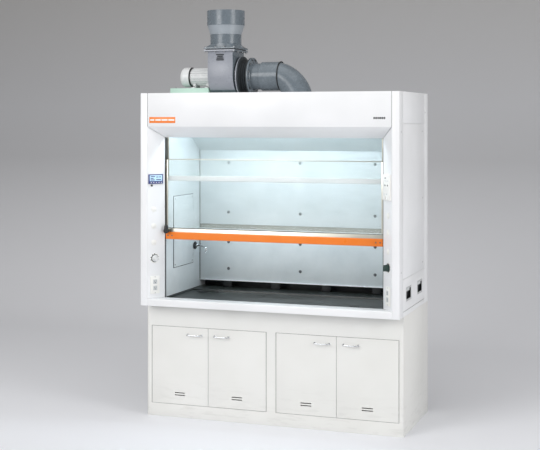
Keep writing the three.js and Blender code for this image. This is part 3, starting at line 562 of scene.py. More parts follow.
@dataclass(frozen=True)
class Metal(Finish):
    """Bare or plated metal; its brushing lines run along the direction with the least `stretch`."""

    roughness: float = 0.3
    stretch: tuple[float, float, float] = (1.0, 1.0, 1.0)
    grain_mm: float = 3.0
    stain: str = "#8d9094"

    def shade(self, tree: bpy.types.NodeTree) -> bpy.types.Node:
        """Grain, tone drift and handling marks."""
        drift = remap(tree, pattern(tree, 80.0), (0.35, 0.7), (0.0, 0.3))
        colour = blend_colours(tree, drift, self.colour, self.stain)
        grain = pattern(tree, self.grain_mm, self.stretch, 4.0)
        rough = remap(tree, grain, (0.3, 0.7), (self.roughness * 0.8, self.roughness * 1.3))
        return add_node(
            tree,
            "ShaderNodeBsdfPrincipled",
            {"Metallic": 1.0},
            {"Base Color": colour, "Roughness": rough, "Normal": relief(tree, grain, 0.15, 0.06)},
        )


@dataclass(frozen=True)
class Moulding(Finish):
    """Moulded or extruded plastic, rubber or thick enamel, with a fine grain from its tool."""

    tint: str = "#808080"
    roughness: float = 0.4
    drift: float = 0.15
    grain_mm: float = 1.6
    depth: float = 0.15

    def shade(self, tree: bpy.types.NodeTree) -> bpy.types.Node:
        """A slow drift of tone and gloss over the grain."""
        cloud = remap(tree, pattern(tree, 110.0), (0.35, 0.7), (0.0, self.drift))
        colour = blend_colours(tree, cloud, self.colour, self.tint)
        rough = remap(tree, pattern(tree, 35.0), (0.3, 0.7), (self.roughness - 0.06, self.roughness + 0.08))
        grain = relief(tree, pattern(tree, self.grain_mm), self.depth, 0.1)
        return add_node(
            tree,
            "ShaderNodeBsdfPrincipled",
            {"IOR": 1.5},
            {"Base Color": colour, "Roughness": rough, "Normal": grain},
        )


@dataclass(frozen=True)
class Pane(Finish):
    """Toughened float glass, ground at its edges: nearly clear face-on and green through an edge."""

    cover: float = 0.1

    def shade(self, tree: bpy.types.NodeTree) -> bpy.types.Node:
        """A thin tinted veil with wiping marks over a clear body."""
        smear = remap(
            tree, pattern(tree, 140.0, (0.5, 1.0, 1.4), 4.0), (0.4, 0.75), (self.cover, self.cover * 1.5)
        )
        rough = remap(tree, pattern(tree, 200.0), (0.3, 0.7), (0.02, 0.07))
        return add_node(
            tree,
            "ShaderNodeBsdfPrincipled",
            {"Base Color": linear(self.colour), "IOR": 1.52},
            {"Alpha": smear, "Roughness": rough},
        )


@dataclass(frozen=True)
class Backdrop(Finish):
    """Matt paper, pale on the floor, with painted shade that greys it up the wall and darkens it at the top."""

    wall: str = "#b9babd"
    top: str = "#a19f9c"

    def shade(self, tree: bpy.types.NodeTree) -> bpy.types.Node:
        """Blends the pale floor into the painted shade of the wall and the top by height, with a faint fibre."""
        place = add_node(tree, "ShaderNodeTexCoord").outputs["Object"]
        height = add_node(tree, "ShaderNodeSeparateXYZ", links={"Vector": place}).outputs["Z"]
        # The wall and top tones are painted shade for the light falling off up the backdrop.
        colour = blend_colours(tree, remap(tree, height, (0.0, 1.6), (0.0, 1.0)), self.colour, self.wall)
        rise = remap(tree, height, (2.2, 4.5), (0.0, 1.0))
        blend = add_node(
            tree, "ShaderNodeMix", {"data_type": "RGBA", 7: linear(self.top)}, {0: rise, 6: colour}
        )
        rough = remap(tree, pattern(tree, 300.0), (0.3, 0.7), (0.78, 0.86))
        return add_node(
            tree, "ShaderNodeBsdfPrincipled", {}, {"Base Color": blend.outputs[2], "Roughness": rough}
        )


@dataclass(frozen=True)
class Glow(Finish):
    """Opal acrylic or a lit display, which gives light of its own."""

    tint: str = "#dfe8ee"
    strength: float = 1.0

    def shade(self, tree: bpy.types.NodeTree) -> bpy.types.Node:
        """A glow that is faintly uneven across the diffuser."""
        uneven = remap(tree, pattern(tree, 60.0), (0.3, 0.7), (0.0, 0.3))
        colour = blend_colours(tree, uneven, self.colour, self.tint)
        return add_node(
            tree,
            "ShaderNodeBsdfPrincipled",
            {"Roughness": 0.35, "Emission Strength": self.strength},
            {"Base Color": colour, "Emission Color": colour},
        )


BODY = PowderCoat("powder_coated_steel_white", "body_white", "#eff0f2")
BASE = PowderCoat("powder_coated_steel_warm_white", "base_white", "#e9e9e6", tint="#dbdbd6", dust_top=0.3)
MINT = PowderCoat("powder_coated_steel_mint", "fan_mint", "#b8d8ca", tint="#a3c6b7")
ZINC = Metal("galvanised_steel", "galvanised", "#b9bcc0", roughness=0.42, grain_mm=14.0)
BOARD = LinerBoard("pressed_compact_laminate", "liner_board", "#dfe5e7")
RESIN = EpoxyResin("cast_epoxy_resin", "worktop_resin", "#262a29")
CHROMED = Metal("chromed_brass", "chrome", "#d6d8da", roughness=0.1, grain_mm=12.0, stain="#bfc2c6")
ALLOY = Metal(
    "brushed_anodised_aluminium", "sash_frame", "#cfcdc2", roughness=0.34, stretch=(
        0.05, 1.0, 1.0
    ), stain="#b3b0a6"
)
STEEL = Metal("machined_steel", "pulley_steel", "#a5a8ab", roughness=0.28, stain="#85888b")
DARK_STEEL = Metal("oiled_black_steel", "pulley_steel", "#77797b", roughness=0.36, stain="#5b5d5f")
IRON = Moulding("painted_cast_iron", "weight_iron", "#4b4d50", "#2f3133", 0.55, grain_mm=5.0, depth=0.6)
GLASS = Pane("toughened_glass", "sash_pane", "#dcefec")
GLASS_EDGE = Pane("ground_glass_edge", "sash_pane", "#7fb3a4", cover=0.65)
ORANGE = Moulding("moulded_abs_orange", "grip_orange", "#ee7c1e", "#f49a4e", 0.33)
# Black nylon for real parts, also used for the strip of painted shade behind the bottom slot.
BLACK = Moulding("moulded_nylon_black_and_painted_shade", "latch_black", "#1d2022", "#34383b", 0.45)
# Black rubber for real seals, also used for strips of painted shade in the door and header gaps.
SEAL_AND_SHADE = Moulding("extruded_rubber_black_and_painted_shade", "flex_black", "#131515", "#24282a", 0.62, grain_mm=3.0)
FLEX = Moulding("moulded_rubber_joint", "flex_black", "#2a3034", "#3d454a", 0.6, grain_mm=4.0, depth=0.4)
WHITE_ABS = Moulding("moulded_abs_white", "control_white", "#f1f1ee", "#dcdcd6", 0.38, drift=0.3)
GREY_ABS = Moulding("moulded_abs_grey", "control_white", "#c9cccd", "#b2b6b7", 0.45, drift=0.3)
GREEN = Moulding("moulded_nylon_green", "knob_green", "#1c3530", "#3e5c54", 0.38)
NAVY = Moulding("moulded_abs_navy", "screen_blue", "#39437e", "#525c98", 0.35)
SCREEN = Glow("backlit_display", "screen_blue", "#a9c9dc", "#bcd6e2", 0.35)
LENS = Moulding("smoked_acrylic_lens", "latch_black", "#22282d", "#3d464e", 0.2)
OPAL = Glow("opal_acrylic_diffuser", "lamp_opal", "#f2f8fb", strength=1.6)
PVC = Moulding("extruded_pvc_grey", "duct_grey", "#646e76", "#78828a", 0.26, drift=0.5)
PVC_PALE = Moulding("formed_pvc_pale_grey", "duct_grey", "#939ba3", "#a3abb1", 0.34, drift=0.5)
PVC_CASE = Moulding("welded_pvc_lilac_grey", "duct_grey", "#989ca5", "#8d919b", 0.3, drift=0.5)
ENAMEL = Moulding(
    "enamelled_aluminium", "motor_silver", "#dfe1e2", "#cdd0d2", 0.28, drift=0.4, grain_mm=4.0
)
RAIL_PAINT = Moulding("painted_slot_rail", "liner_board", "#8f8b81", "#a19e94", 0.45, drift=0.4)
STUDIO_PAPER = Backdrop("studio_paper", "body_white", "#eef0f5")


# ---------------------------------------------------------------- common ground of the sub-assemblies


@dataclass
class Assembly:
    """A sub-assembly; `nodes` holds the frame's own solids by name."""

    nodes: dict[str, bpy.types.Object]

    def place(
        self,
        name: str,
        shape: Shape,
        body: str,
        finish: Finish,
        replaces: Sequence[str] = (),
        crease: float = CREASE,
    ) -> bpy.types.Object:
        """Makes a piece of a shape, dresses it and lets it ride on a body.

        Args:
            name: Name of the piece.
            shape: Its solids, in the frame.
            body: Body that it moves with.
            finish: What it is made of.
            replaces: Frame nodes that it stands for.
            crease: Angle above which an edge stays crisp.

        Returns:
            The new object.
        """
        piece = shape.finish(name, crease)
        piece.data.materials.append(finish.material())
        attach(piece, body)
        if replaces:
            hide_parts(*replaces)
        LOG.info("%s: %d faces on %s", name, len(piece.data.polygons), body)
        return piece

    def refine(
        self, node: str, body: str, finish: Finish, ease: float, steps: int = 2, shortest: float = 0.0
    ) -> bpy.types.Object:
        """Replaces a frame node with its own solid, its edges rounded."""
        shape = Shape().copy_of(self.nodes[node], ease, steps, shortest)
        return self.place(f"{node}_skin", shape, body, finish, (node,))

    def dress(self, node: str, finish: Finish) -> None:
        """Gives a frame node its finish and leaves its solid as it is."""
        data = self.nodes[node].data
        data.materials.clear()
        data.materials.append(finish.material())
        LOG.info("%s: dressed in %s", node, finish.name)


# ---------------------------------------------------------------- cupboard base


@dataclass
class CupboardBase(Assembly):
    """Steel carcass with a welded face frame."""

    edge: float = 0.8 * MM

    def build(self) -> None:
        """Rounds the edges of what shows and dresses the rest."""
        for node in ("base_side_left", "base_side_right"):
            self.refine(node, "root", BASE, self.edge)
        self.refine("base_face_frame", "root", BASE, self.edge, shortest=12 * MM)
        for node in ("base_bottom", "base_divider"):
            self.dress(node, BASE)
        self.dress("base_back", ZINC)


@dataclass
class CupboardDoors(Assembly):
    """Four folded steel doors, each with a bow handle and two vent slots."""

    count: int = 4
    edge: float = 2.2 * MM
    slot_length: float = 76 * MM
    slot_height: float = 6 * MM
    slot_levels: tuple[float, float] = (152 * MM, 168 * MM)
    bar: float = 4.5 * MM
    bend: float = 14 * MM

    def build(self) -> None:
        """Builds each door with its handle."""
        for number in range(1, self.count + 1):
            self._leaf(number)
            self._handle(number)
        self._painted_jamb_shade()

    def _leaf(self, number: int) -> None:
        """One door leaf, its slots cut through it, and a black frame of painted shade in the gap round it."""
        node = f"door_{number}"
        low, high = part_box(node)
        leaf = self.refine(node, f"leaf_{number}", BASE, self.edge, 3, shortest=12 * MM)
        middle = (low.x + high.x) / 2
        cutter = Shape()
        for level in self.slot_levels:
            outline = [(z, x) for x, z in stadium(self.slot_length, self.slot_height, (middle, level))]
            cutter.prism(outline, Axis.Y, low.y - 5 * MM, high.y + 5 * MM)
        cut_through(leaf, cutter)
        # The black frame round the leaf is painted shade: it fills the door gap to darken the gap lines.
        band, near, far = 0.5 * MM, low.y + 1.2 * MM, low.y + 7 * MM
        x0, x1, z0, z1 = low.x - band, high.x + band, low.z - band, high.z + band
        seal = Shape()
        for a, b in (
            ((x0, z0), (x1, low.z)),
            ((x0, high.z), (x1, z1)),
            ((x0, z0), (low.x, z1)),
            ((high.x, z0), (x1, z1)),
        ):
            seal.block((a[0], near, a[1]), (b[0], far, b[1]))
        self.place(f"door_seal_{number}", seal, f"leaf_{number}", SEAL_AND_SHADE)

    def _painted_jamb_shade(self) -> None:
        """A thin black frame of painted shade round each pair of doors, in the gap round them."""
        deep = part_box("door_1")[0].y
        near, far, wide, gap = deep + 1.2 * MM, deep + 7 * MM, 0.3 * MM, 3 * MM
        # Black strips in the gaps round the doors: painted shade.
        shade_strips = Shape()
        for first, last in ((1, 2), (3, 4)):
            low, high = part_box(f"door_{first}")[0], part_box(f"door_{last}")[1]
            x0, x1 = low.x - gap, high.x + gap
            z0, z1 = low.z - 2 * MM, high.z + 2 * MM
            shade_strips.block((x0, near, z0), (x0 + wide, far, z1))
            shade_strips.block((x1 - wide, near, z0), (x1, far, z1))
            shade_strips.block((x0, near, z0), (x1, far, z0 + wide))
            shade_strips.block((x0, near, z1 - wide), (x1, far, z1))
        self.place("door_jamb_painted_shade", shade_strips, "root", SEAL_AND_SHADE)

    def _handle(self, number: int) -> None:
        """A bow handle of round bar on two collars."""
        node = f"door_handle_{number}"
        low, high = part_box(node)
        z = (low.z + high.z) / 2
        left, right, front = low.x + self.bar, high.x - self.bar, low.y + self.bar
        out, inward = Vector((0, 1, 0)), Vector((1, 0, 0))
        path = [Vector((left, high.y, z))]
        path += quarter_bend(Vector((left, front, z)), out, inward, self.bend)
        path += quarter_bend(Vector((right, front, z)), -inward, out, self.bend)
        path.append(Vector((right, high.y, z)))
        shape = Shape().tube(path, self.bar, 20)
        for x in (left, right):
            shape.drum(Axis.Y, (x, high.y, z), self.bar * 1.7, -3 * MM, 0.0, 0.8 * MM, 28)
        self.place(f"{node}_bow", shape, f"leaf_{number}", CHROMED, (node,), math.radians(40))


# ---------------------------------------------------------------- worktop


@dataclass
class Worktop(Assembly):
    """Dished resin top with a cup sink, the white sill in front of it, and the water spout."""

    waste_length: float = 60 * MM
    spout_bar: float = 6.5 * MM
    flange_radius: float = 28 * MM

    def build(self) -> None:
        """Builds worktop, sill, sink and spout."""
        self.refine("worktop", "root", RESIN, 1.6 * MM, 3, shortest=12 * MM)
        self.refine("front_sill", "root", BODY, 2.5 * MM, 3)
        self._sink()
        self._spout()

    def _sink(self) -> None:
        """Oval bowl with a rolled rim and a strainer over its waste."""
        low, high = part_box("cup_sink")
        mid = (low + high) / 2
        half_x, half_y = (high.x - low.x) / 2, (high.y - low.y) / 2
        floor = low.z + self.waste_length
        top = high.z

        def ring(inset_mm: float, z: float) -> list[Vector]:
            """One oval, drawn in from the rim."""
            return level_ring((mid.x, mid.y, z), half_x - inset_mm * MM, half_y - inset_mm * MM)

        outside = [
            ring(26, floor), ring(16, floor + 6 * MM), ring(10, floor + 20 * MM), ring(10, top - 4 * MM)
        ]
        rim = [ring(0.3, top - 4 * MM), ring(0.0, top - 1.5 * MM), ring(1.5, top), ring(12, top)]
        inside = [
            ring(13.5, top - 2 * MM),
            ring(14, floor + 20 * MM),
            ring(19, floor + 9 * MM),
            ring(28, floor + 4 * MM),
        ]
        bowl = Shape().loft(outside + rim + inside)
        bowl.pipe(Axis.Z, (mid.x, mid.y, low.z), 19 * MM, 14 * MM, 0.0, self.waste_length)
        self.place("cup_sink_bowl", bowl, "root", RESIN, ("cup_sink",))
        seat = (mid.x, mid.y, floor + 4 * MM)
        strainer = Shape().drum(Axis.Z, seat, 12 * MM, 0.0, 2 * MM, 0.5 * MM)
        for k in range(8):
            spot = Vector(seat) + Axis.Z.turned(7 * MM, k * math.pi / 4, 0.0)
            strainer.dome(Axis.Z, spot + Vector((0, 0, 2 * MM)), 1.5 * MM, 0.5)
        self.place("sink_strainer", strainer, "root", CHROMED)

    def _spout(self) -> None:
        """Wall spout turned towards the sink, with its black wall flange and nozzle."""
        low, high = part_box("water_spout")
        wall = low.x
        flange = Vector((wall, high.y - self.flange_radius, high.z - self.flange_radius))
        tip = Vector((high.x - self.spout_bar, low.y + self.spout_bar, low.z))
        start = flange + Vector((14 * MM, 0, 0))
        shoulder = flange + Vector((40 * MM, -8 * MM, 2 * MM))
        knee = Vector((tip.x, tip.y, flange.z))
        path = [start, flange + Vector((26 * MM, -2 * MM, 0.6 * MM)), shoulder]
        path += quarter_bend(knee, (shoulder - knee).normalized(), Vector((0, 0, -1)), 20 * MM)
        path.append(tip + Vector((0, 0, 12 * MM)))
        shape = Shape().tube(path, self.spout_bar, 24)
        shape.drum(Axis.X, flange, 11 * MM, 8 * MM, 24 * MM, 1.5 * MM)
        ridges = [(0, 0), (0, 4), (4, 6), (6, 5), (10, 6.5), (12, 5.5), (16, 7.5), (20, 7.5), (20, 0)]
        shape.lathe([(z * MM, radius * MM) for z, radius in ridges], Axis.Z, tip, 32)
        self.place("spout_gooseneck", shape, "root", CHROMED, ("water_spout",), math.radians(45))
        plate = Shape().drum(Axis.X, flange, self.flange_radius, 0.0, 9 * MM, 2.5 * MM, 48)
        self.place("spout_wall_flange", plate, "root", BLACK)


# ---------------------------------------------------------------- cabinet


@dataclass
class Cabinet(Assembly):
    """White shell: side panels, slanted posts, header, roof and back."""

    edge: float = 1.0 * MM
    plate: float = 1.8 * MM
    skin: float = 1.2 * MM
    seam: float = 3.0 * MM
    margin_front: float = 92 * MM
    margin_back: float = 745 * MM
    strip_low: float = 803 * MM
    strip_high: float = 1012 * MM
    header_seam: float = 2008 * MM
    header_fold: float = 1987 * MM
    badge: tuple[float, float, float, float] = (-835 * MM, -643 * MM, 2011 * MM, 2052 * MM)
    badge_bars: tuple[Point, ...] = ((-828, 30), (-790, 40), (-744, 44), (-694, 44))
    row_start: int = 730
    row_widths: tuple[int, ...] = (10, 12, 8, 12, 11, 9)
    screw_spots: tuple[Point, ...] = ((765, 2083), (674, 1955), (684, 1061), (690, 1500), (45, 1955), (45, 1061))
    grip_centres: tuple[float, float] = (258 * MM, 592 * MM)
    grip_half: float = 77 * MM
    grip_low: float = 860 * MM
    grip_high: float = 949 * MM
    set_back: float = 0.6 * MM

    def build(self) -> None:
        """Builds the shell and everything fixed to its outside."""
        self.plates = {}
        for side, tail in ((-1, "left"), (1, "right")):
            self._side_panel(side, tail)
            self._grips(side, tail)
            self.refine(f"post_{tail}", "root", BODY, self.edge)
            self._post_seal(side, tail)
        self._header()
        self.refine("roof_panel", "root", BODY, 0.5 * MM, shortest=12 * MM)
        self.dress("back_panel", ZINC)

    def _outer(self, side: int, tail: str) -> float:
        """X of the outside of a side panel."""
        low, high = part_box(f"side_panel_{tail}")
        return high.x if side > 0 else low.x

    def _side_panel(self, side: int, tail: str) -> None:
        """A folded side panel of cover plates with thin seams between them."""
        low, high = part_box(f"side_panel_{tail}")
        outer = self._outer(side, tail)
        y0, y1 = low.y + self.margin_front, low.y + self.margin_back
        gap = self.seam / 2
        shape = Shape()
        levels = [low.z, self.strip_low, self.strip_high, self.header_seam, high.z]
        for bottom, top in zip(levels, levels[1:]):
            z0 = bottom + (gap if bottom > low.z else 0.0)
            z1 = top - (gap if top < high.z else 0.0)
            if bottom == self.strip_low:
                strip = Shape().block(
                    (outer, y0 + 1.1 * MM, z0), (outer - side * self.plate, y1 - 1.1 * MM, z1), 0.4 * MM
                )
                continue
            shape.block((outer, y0, z0), (outer - side * self.plate, y1, z1), 0.4 * MM)
        # The corners are one piece with the panel, so these plates overlap and show no seam.
        for a, b in ((low.y, y0 + 1 * MM), (y1 - 1 * MM, high.y)):
            shape.block((outer, a, low.z), (outer - side * self.plate, b, high.z), 0.4 * MM)
        depth = outer - side * (self.plate + 2 * MM)
        sheet = Shape().block(
            (depth, low.y + 1 * MM, low.z + 1 * MM),
            (depth - side * self.skin, high.y - 1 * MM, high.z - 1 * MM),
        )
        flange = outer - side * (high.x - low.x)
        shape.block((outer - side * 0.2 * MM, low.y, low.z), (flange, low.y + 2 * MM, high.z), 0.8 * MM)
        self.place(f"side_panel_{tail}_skin", shape, "root", BODY, (f"side_panel_{tail}",))
        self.plates[side] = (
            self.place(f"side_strip_{tail}", strip, "root", BODY),
            self.place(f"side_sheet_{tail}", sheet, "root", BODY),
        )
        screws = Shape()
        for depth_mm, z_mm in self.screw_spots:
            seat = (outer, low.y + depth_mm * MM, z_mm * MM)
            screws.drum(Axis.X, seat, 4.5 * MM, -side * 3 * MM, side * 0.4 * MM, 0.2 * MM, 20)
        self.place(f"side_screws_{tail}", screws, "root", DARK_STEEL)

    def _grip_area(
        self, centre: float, side: int, inset: float, out: float, deep: float
    ) -> tuple[Vector, Vector]:
        """Opposite corners of a grip's hollow.

        Args:
            centre: Distance of the grip's middle behind the sill's front.
            side: -1 for the left panel, 1 for the right.
            inset: How far the outline is drawn in.
            out: How far it starts before the panel's face.
            deep: How far it ends behind the face.

        Returns:
            Its outer front lower corner and its inner rear upper corner.
        """
        outer = self._outer(side, "right" if side > 0 else "left")
        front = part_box("front_sill")[0].y + centre
        half = self.grip_half - inset
        return (
            Vector((outer + side * out, front - half, self.grip_low + inset)),
            Vector((outer - side * deep, front + half, self.grip_high - inset)),
        )

    def _grips(self, side: int, tail: str) -> None:
        """Two black recessed grips in the service strip: a rim, a cup behind it and a pale tab."""
        wall, depth, lip = 2 * MM, 20 * MM, 11 * MM
        cups, rims, tabs = Shape(), Shape(), Shape()
        for centre in self.grip_centres:
            for plate in self.plates[side]:
                cut_through(plate, Shape().block(*self._grip_area(centre, side, 0.0, 2 * MM, 30 * MM)))
            low, high = self._grip_area(centre, side, 0.4 * MM, 0.0, depth)
            face, back = low.x - side * 0.1 * MM, high.x
            for y0, y1 in ((low.y, low.y + wall), (high.y - wall, high.y)):
                cups.block((face, y0, low.z), (back, y1, high.z))
            for z0, z1 in ((low.z, low.z + wall), (high.z - wall, high.z)):
                cups.block((face, low.y + wall, z0), (back, high.y - wall, z1))
            cups.block(
                (back + side * wall, low.y + wall, low.z + wall), (back, high.y - wall, high.z - wall)
            )
            y0, y1, z0, z1 = low.y + lip, high.y - lip, low.z + lip, high.z - lip
            for a, b in (((low.y, low.z), (y0, high.z)), ((y1, low.z), (high.y, high.z))):
                rims.block((face, a[0], a[1]), (face - side * 2 * MM, b[0], b[1]), 0.5 * MM)
            for a, b in ((low.z, z0), (z1, high.z)):
                rims.block((face, y0, a), (face - side * 2 * MM, y1, b), 0.5 * MM)
            tabs.block(
                (face - side * 2.5 * MM, low.y + lip, high.z - 27 * MM),
                (face - side * 5 * MM, high.y - 40 * MM, high.z - lip),
                0.8 * MM,
            )
        self.place(f"side_grips_{tail}", cups, "root", BLACK)
        self.place(f"side_grip_rims_{tail}", rims, "root", GREY_ABS)
        self.place(f"side_grip_tabs_{tail}", tabs, "root", GREY_ABS)

    def _post_seal(self, side: int, tail: str) -> None:
        """Black seal down the inner edge of a post, where the sash runs."""
        low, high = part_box(f"post_{tail}")
        inner = low.x if side > 0 else high.x
        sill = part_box("front_sill")[1].z
        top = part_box("header_fascia")[0].z
        shape = Shape().block(
            (inner - side * 3.5 * MM, high.y - 1.5 * MM, sill),
            (inner + side * 1.5 * MM, high.y + 2 * MM, top),
            0.5 * MM,
        )
        self.place(f"post_seal_{tail}", shape, "root", SEAL_AND_SHADE)

    def _header(self) -> None:
        """Header with its plain badge, black strips of painted shade in the gaps at its ends, and a row of
        neutral bars where lettering would be.
        """
        shape = Shape().copy_of(self.nodes["header_fascia"], self.edge, shortest=3 * MM)
        shape.move(Matrix.Translation((0, self.set_back, 0)))
        self.place("header_skin", shape, "root", BODY, ("header_fascia",))
        low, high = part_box("header_fascia")
        # The black strips at the header's ends are painted shade in the gaps beside it.
        gap_strips = Shape()
        for side, x in ((-1, low.x), (1, high.x)):
            gap_strips.block((x, low.y + 1.5 * MM, self.header_fold), (x + side * 2.3 * MM, low.y + 3 * MM, high.z))
        self.place("header_end_painted_shade", gap_strips, "root", SEAL_AND_SHADE)
        face = low.y + self.set_back
        front = face - 0.3 * MM
        left, right, bottom, top = self.badge
        badge = Shape().block((left, front, bottom), (right, face + 1 * MM, top), 0.25 * MM)
        self.place("header_badge", badge, "root", ORANGE)
        marks = Shape()
        for x, width in self.badge_bars:
            low, high = Vector((x, 0, 2026)) * MM, Vector((x + width, 0, 2037)) * MM
            marks.block((low.x, front - 0.2 * MM, low.z), (high.x, front + 0.2 * MM, high.z), 0.08 * MM)
        self.place("header_badge_bars", marks, "root", WHITE_ABS)
        row = Shape()
        x = self.row_start
        for width in self.row_widths:
            row.block((x * MM, front, 2037 * MM), ((x + width) * MM, face + 1 * MM, 2050 * MM), 0.15 * MM)
            x += width + 3
        self.place("header_mark_row", row, "root", BLACK)


# ---------------------------------------------------------------- work chamber


@dataclass
class WorkChamber(Assembly):
    """Liners, baffles, lamp and the small parts inside."""

    stud_radius: float = 8 * MM
    stud_columns: tuple[float, float, float] = (-550 * MM, 0.0, 550 * MM)
    stud_levels: tuple[float, ...] = (1722 * MM, 1360 * MM, 1144 * MM, 949 * MM)
    bracket_columns: tuple[float, ...] = (-560 * MM, -190 * MM, 190 * MM, 560 * MM)
    seal: float = 3.5 * MM

    def build(self) -> None:
        """Builds the lining of the chamber."""
        for node in ("liner_left", "liner_right"):
            self.refine(node, "root", BOARD, 1.0 * MM)
        for node in ("baffle_lower", "baffle_upper", "baffle_top"):
            self.refine(node, "root", BOARD, 0.9 * MM, shortest=1 * MM)
        self._studs()
        self._slot_rail()
        self._brackets()
        self._access_panel()
        self._lamp()
        self._sealant()

    def _studs(self) -> None:
        """Domed nuts on washers that hold the baffles."""
        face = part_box("baffle_lower")[0].y
        shape = Shape()
        for x in self.stud_columns:
            for z in self.stud_levels:
                shape.drum(Axis.Y, (x, face, z), self.stud_radius * 1.4, -1.5 * MM, 0.0, 0.4 * MM, 24)
                shape.dome(Axis.Y, (x, face - 1.5 * MM, z), self.stud_radius, -0.9)
        self.place("baffle_studs", shape, "root", DARK_STEEL)

    def _slot_rail(self) -> None:
        """Damper rail behind the middle slot, a black strip of painted shade behind the bottom slot, and the
        folded lips of the lower baffle.
        """
        low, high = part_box("baffle_lower")
        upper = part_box("baffle_upper")[0].z
        left, right = low.x + 1 * MM, high.x - 1 * MM
        rail = Shape().block(
            (left, high.y + 0.5 * MM, high.z - 20 * MM), (right, high.y + 3 * MM, upper + 20 * MM), 0.6 * MM
        )
        self.place("slot_damper", rail, "root", RAIL_PAINT)
        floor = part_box("worktop")[1].z
        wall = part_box("back_panel")[0].y
        # A black strip on the back wall is painted shade: it darkens the bottom slot.
        shade = Shape().block(
            (left, wall - 2.3 * MM, floor - 6 * MM), (right, wall - 0.3 * MM, floor + 110 * MM), 0.4 * MM
        )
        self.place("plenum_slot_painted_shade", shade, "root", BLACK)
        lips = Shape().block((left, low.y - 8 * MM, high.z - 4 * MM), (right, low.y, high.z), 1.2 * MM)
        lips.block((left, low.y - 7 * MM, low.z), (right, low.y, low.z + 5 * MM), 1.2 * MM)
        self.place("baffle_lips", lips, "root", BODY)

    def _brackets(self) -> None:
        """Dark angle brackets that carry the lower baffle over the bottom slot."""
        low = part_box("baffle_lower")[0]
        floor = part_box("worktop")[1].z
        half = 32 * MM
        near = low.y + 6 * MM
        shape = Shape()
        for x in self.bracket_columns:
            shape.block(
                (x - half, near, floor + 0.3 * MM), (x + half, near + 4 * MM, low.z + 26 * MM), 0.8 * MM
            )
            shape.block(
                (x - half, near, floor + 0.3 * MM), (x + half, near + 40 * MM, floor + 4 * MM), 0.8 * MM
            )
            shape.bolt(Axis.Z, (x, near + 22 * MM, floor + 4 * MM), 4 * MM, 1.0)
        self.place("baffle_brackets", shape, "root", BLACK)

    def _access_panel(self) -> None:
        """Lift-off panel in the left liner with a dark seal and knurled screws."""
        node = "access_panel_left"
        low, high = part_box(node)
        self.refine(node, "root", BOARD, 0.9 * MM)
        t, lap = self.seal, 0.3 * MM
        x0, x1 = low.x, low.x + 1.8 * MM
        rim = Shape()
        for y0, y1 in ((low.y - 2.2 * t, low.y + lap), (high.y - lap, high.y + t)):
            rim.block((x0, y0, low.z - t), (x1, y1, high.z + t), 0.4 * MM)
        for z0, z1 in ((low.z - t, low.z + lap), (high.z - lap, high.z + t)):
            rim.block((x0, low.y - t, z0), (x1, high.y + t, z1), 0.4 * MM)
        self.place("access_panel_seal", rim, "root", SEAL_AND_SHADE)
        screws = Shape()
        inset = 18 * MM
        for y in (low.y + inset, high.y - inset):
            for z in (low.z + inset, (low.z + high.z) / 2, high.z - inset):
                screws.dome(Axis.X, (high.x, y, z), 5 * MM, 0.7)
        self.place("access_panel_screws", screws, "root", STEEL)

    def _lamp(self) -> None:
        """Sealed lamp under the roof: a white tray, end caps and an opal cover."""
        low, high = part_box("lamp_unit")
        tray_depth, cap = 20 * MM, 14 * MM
        tray = Shape().block((low.x, low.y, high.z - tray_depth), high, 1.5 * MM)
        for x in (low.x, high.x - cap):
            tray.block((x, low.y, low.z), (x + cap, high.y, high.z - 2 * MM), 2 * MM)
        self.place("lamp_tray", tray, "root", BODY, ("lamp_unit",))
        mid, half = (low.y + high.y) / 2, (high.y - low.y) / 2 - 6 * MM
        drop = high.z - tray_depth - low.z - 2 * MM
        outline = []
        for k in range(13):
            angle = math.pi * k / 12
            outline.append((mid + half * math.cos(angle), high.z - tray_depth - drop * math.sin(angle)))
        cover = Shape().prism(outline, Axis.X, low.x + cap, high.x - cap)
        self.place("lamp_cover", cover, "root", OPAL)

    def _sealant(self) -> None:
        """Dark sealant in the back corners and along the foot of the liners."""
        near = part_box("baffle_lower")[0].y
        baffle_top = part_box("baffle_upper")[1].z
        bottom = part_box("worktop")[1].z
        t = self.seal
        shape = Shape()
        for side, node in ((-1, "liner_left"), (1, "liner_right")):
            low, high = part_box(node)
            wall = high.x if side < 0 else low.x
            inner = wall - side * t
            shape.block((wall, near - t, low.z + 46 * MM), (inner, near + 1 * MM, baffle_top), 0.8 * MM)
            shape.block((wall, low.y + 4 * MM, bottom), (inner, near + 2 * MM, bottom + t), 0.8 * MM)
        self.place("liner_sealant", shape, "root", SEAL_AND_SHADE)


# ---------------------------------------------------------------- sashes


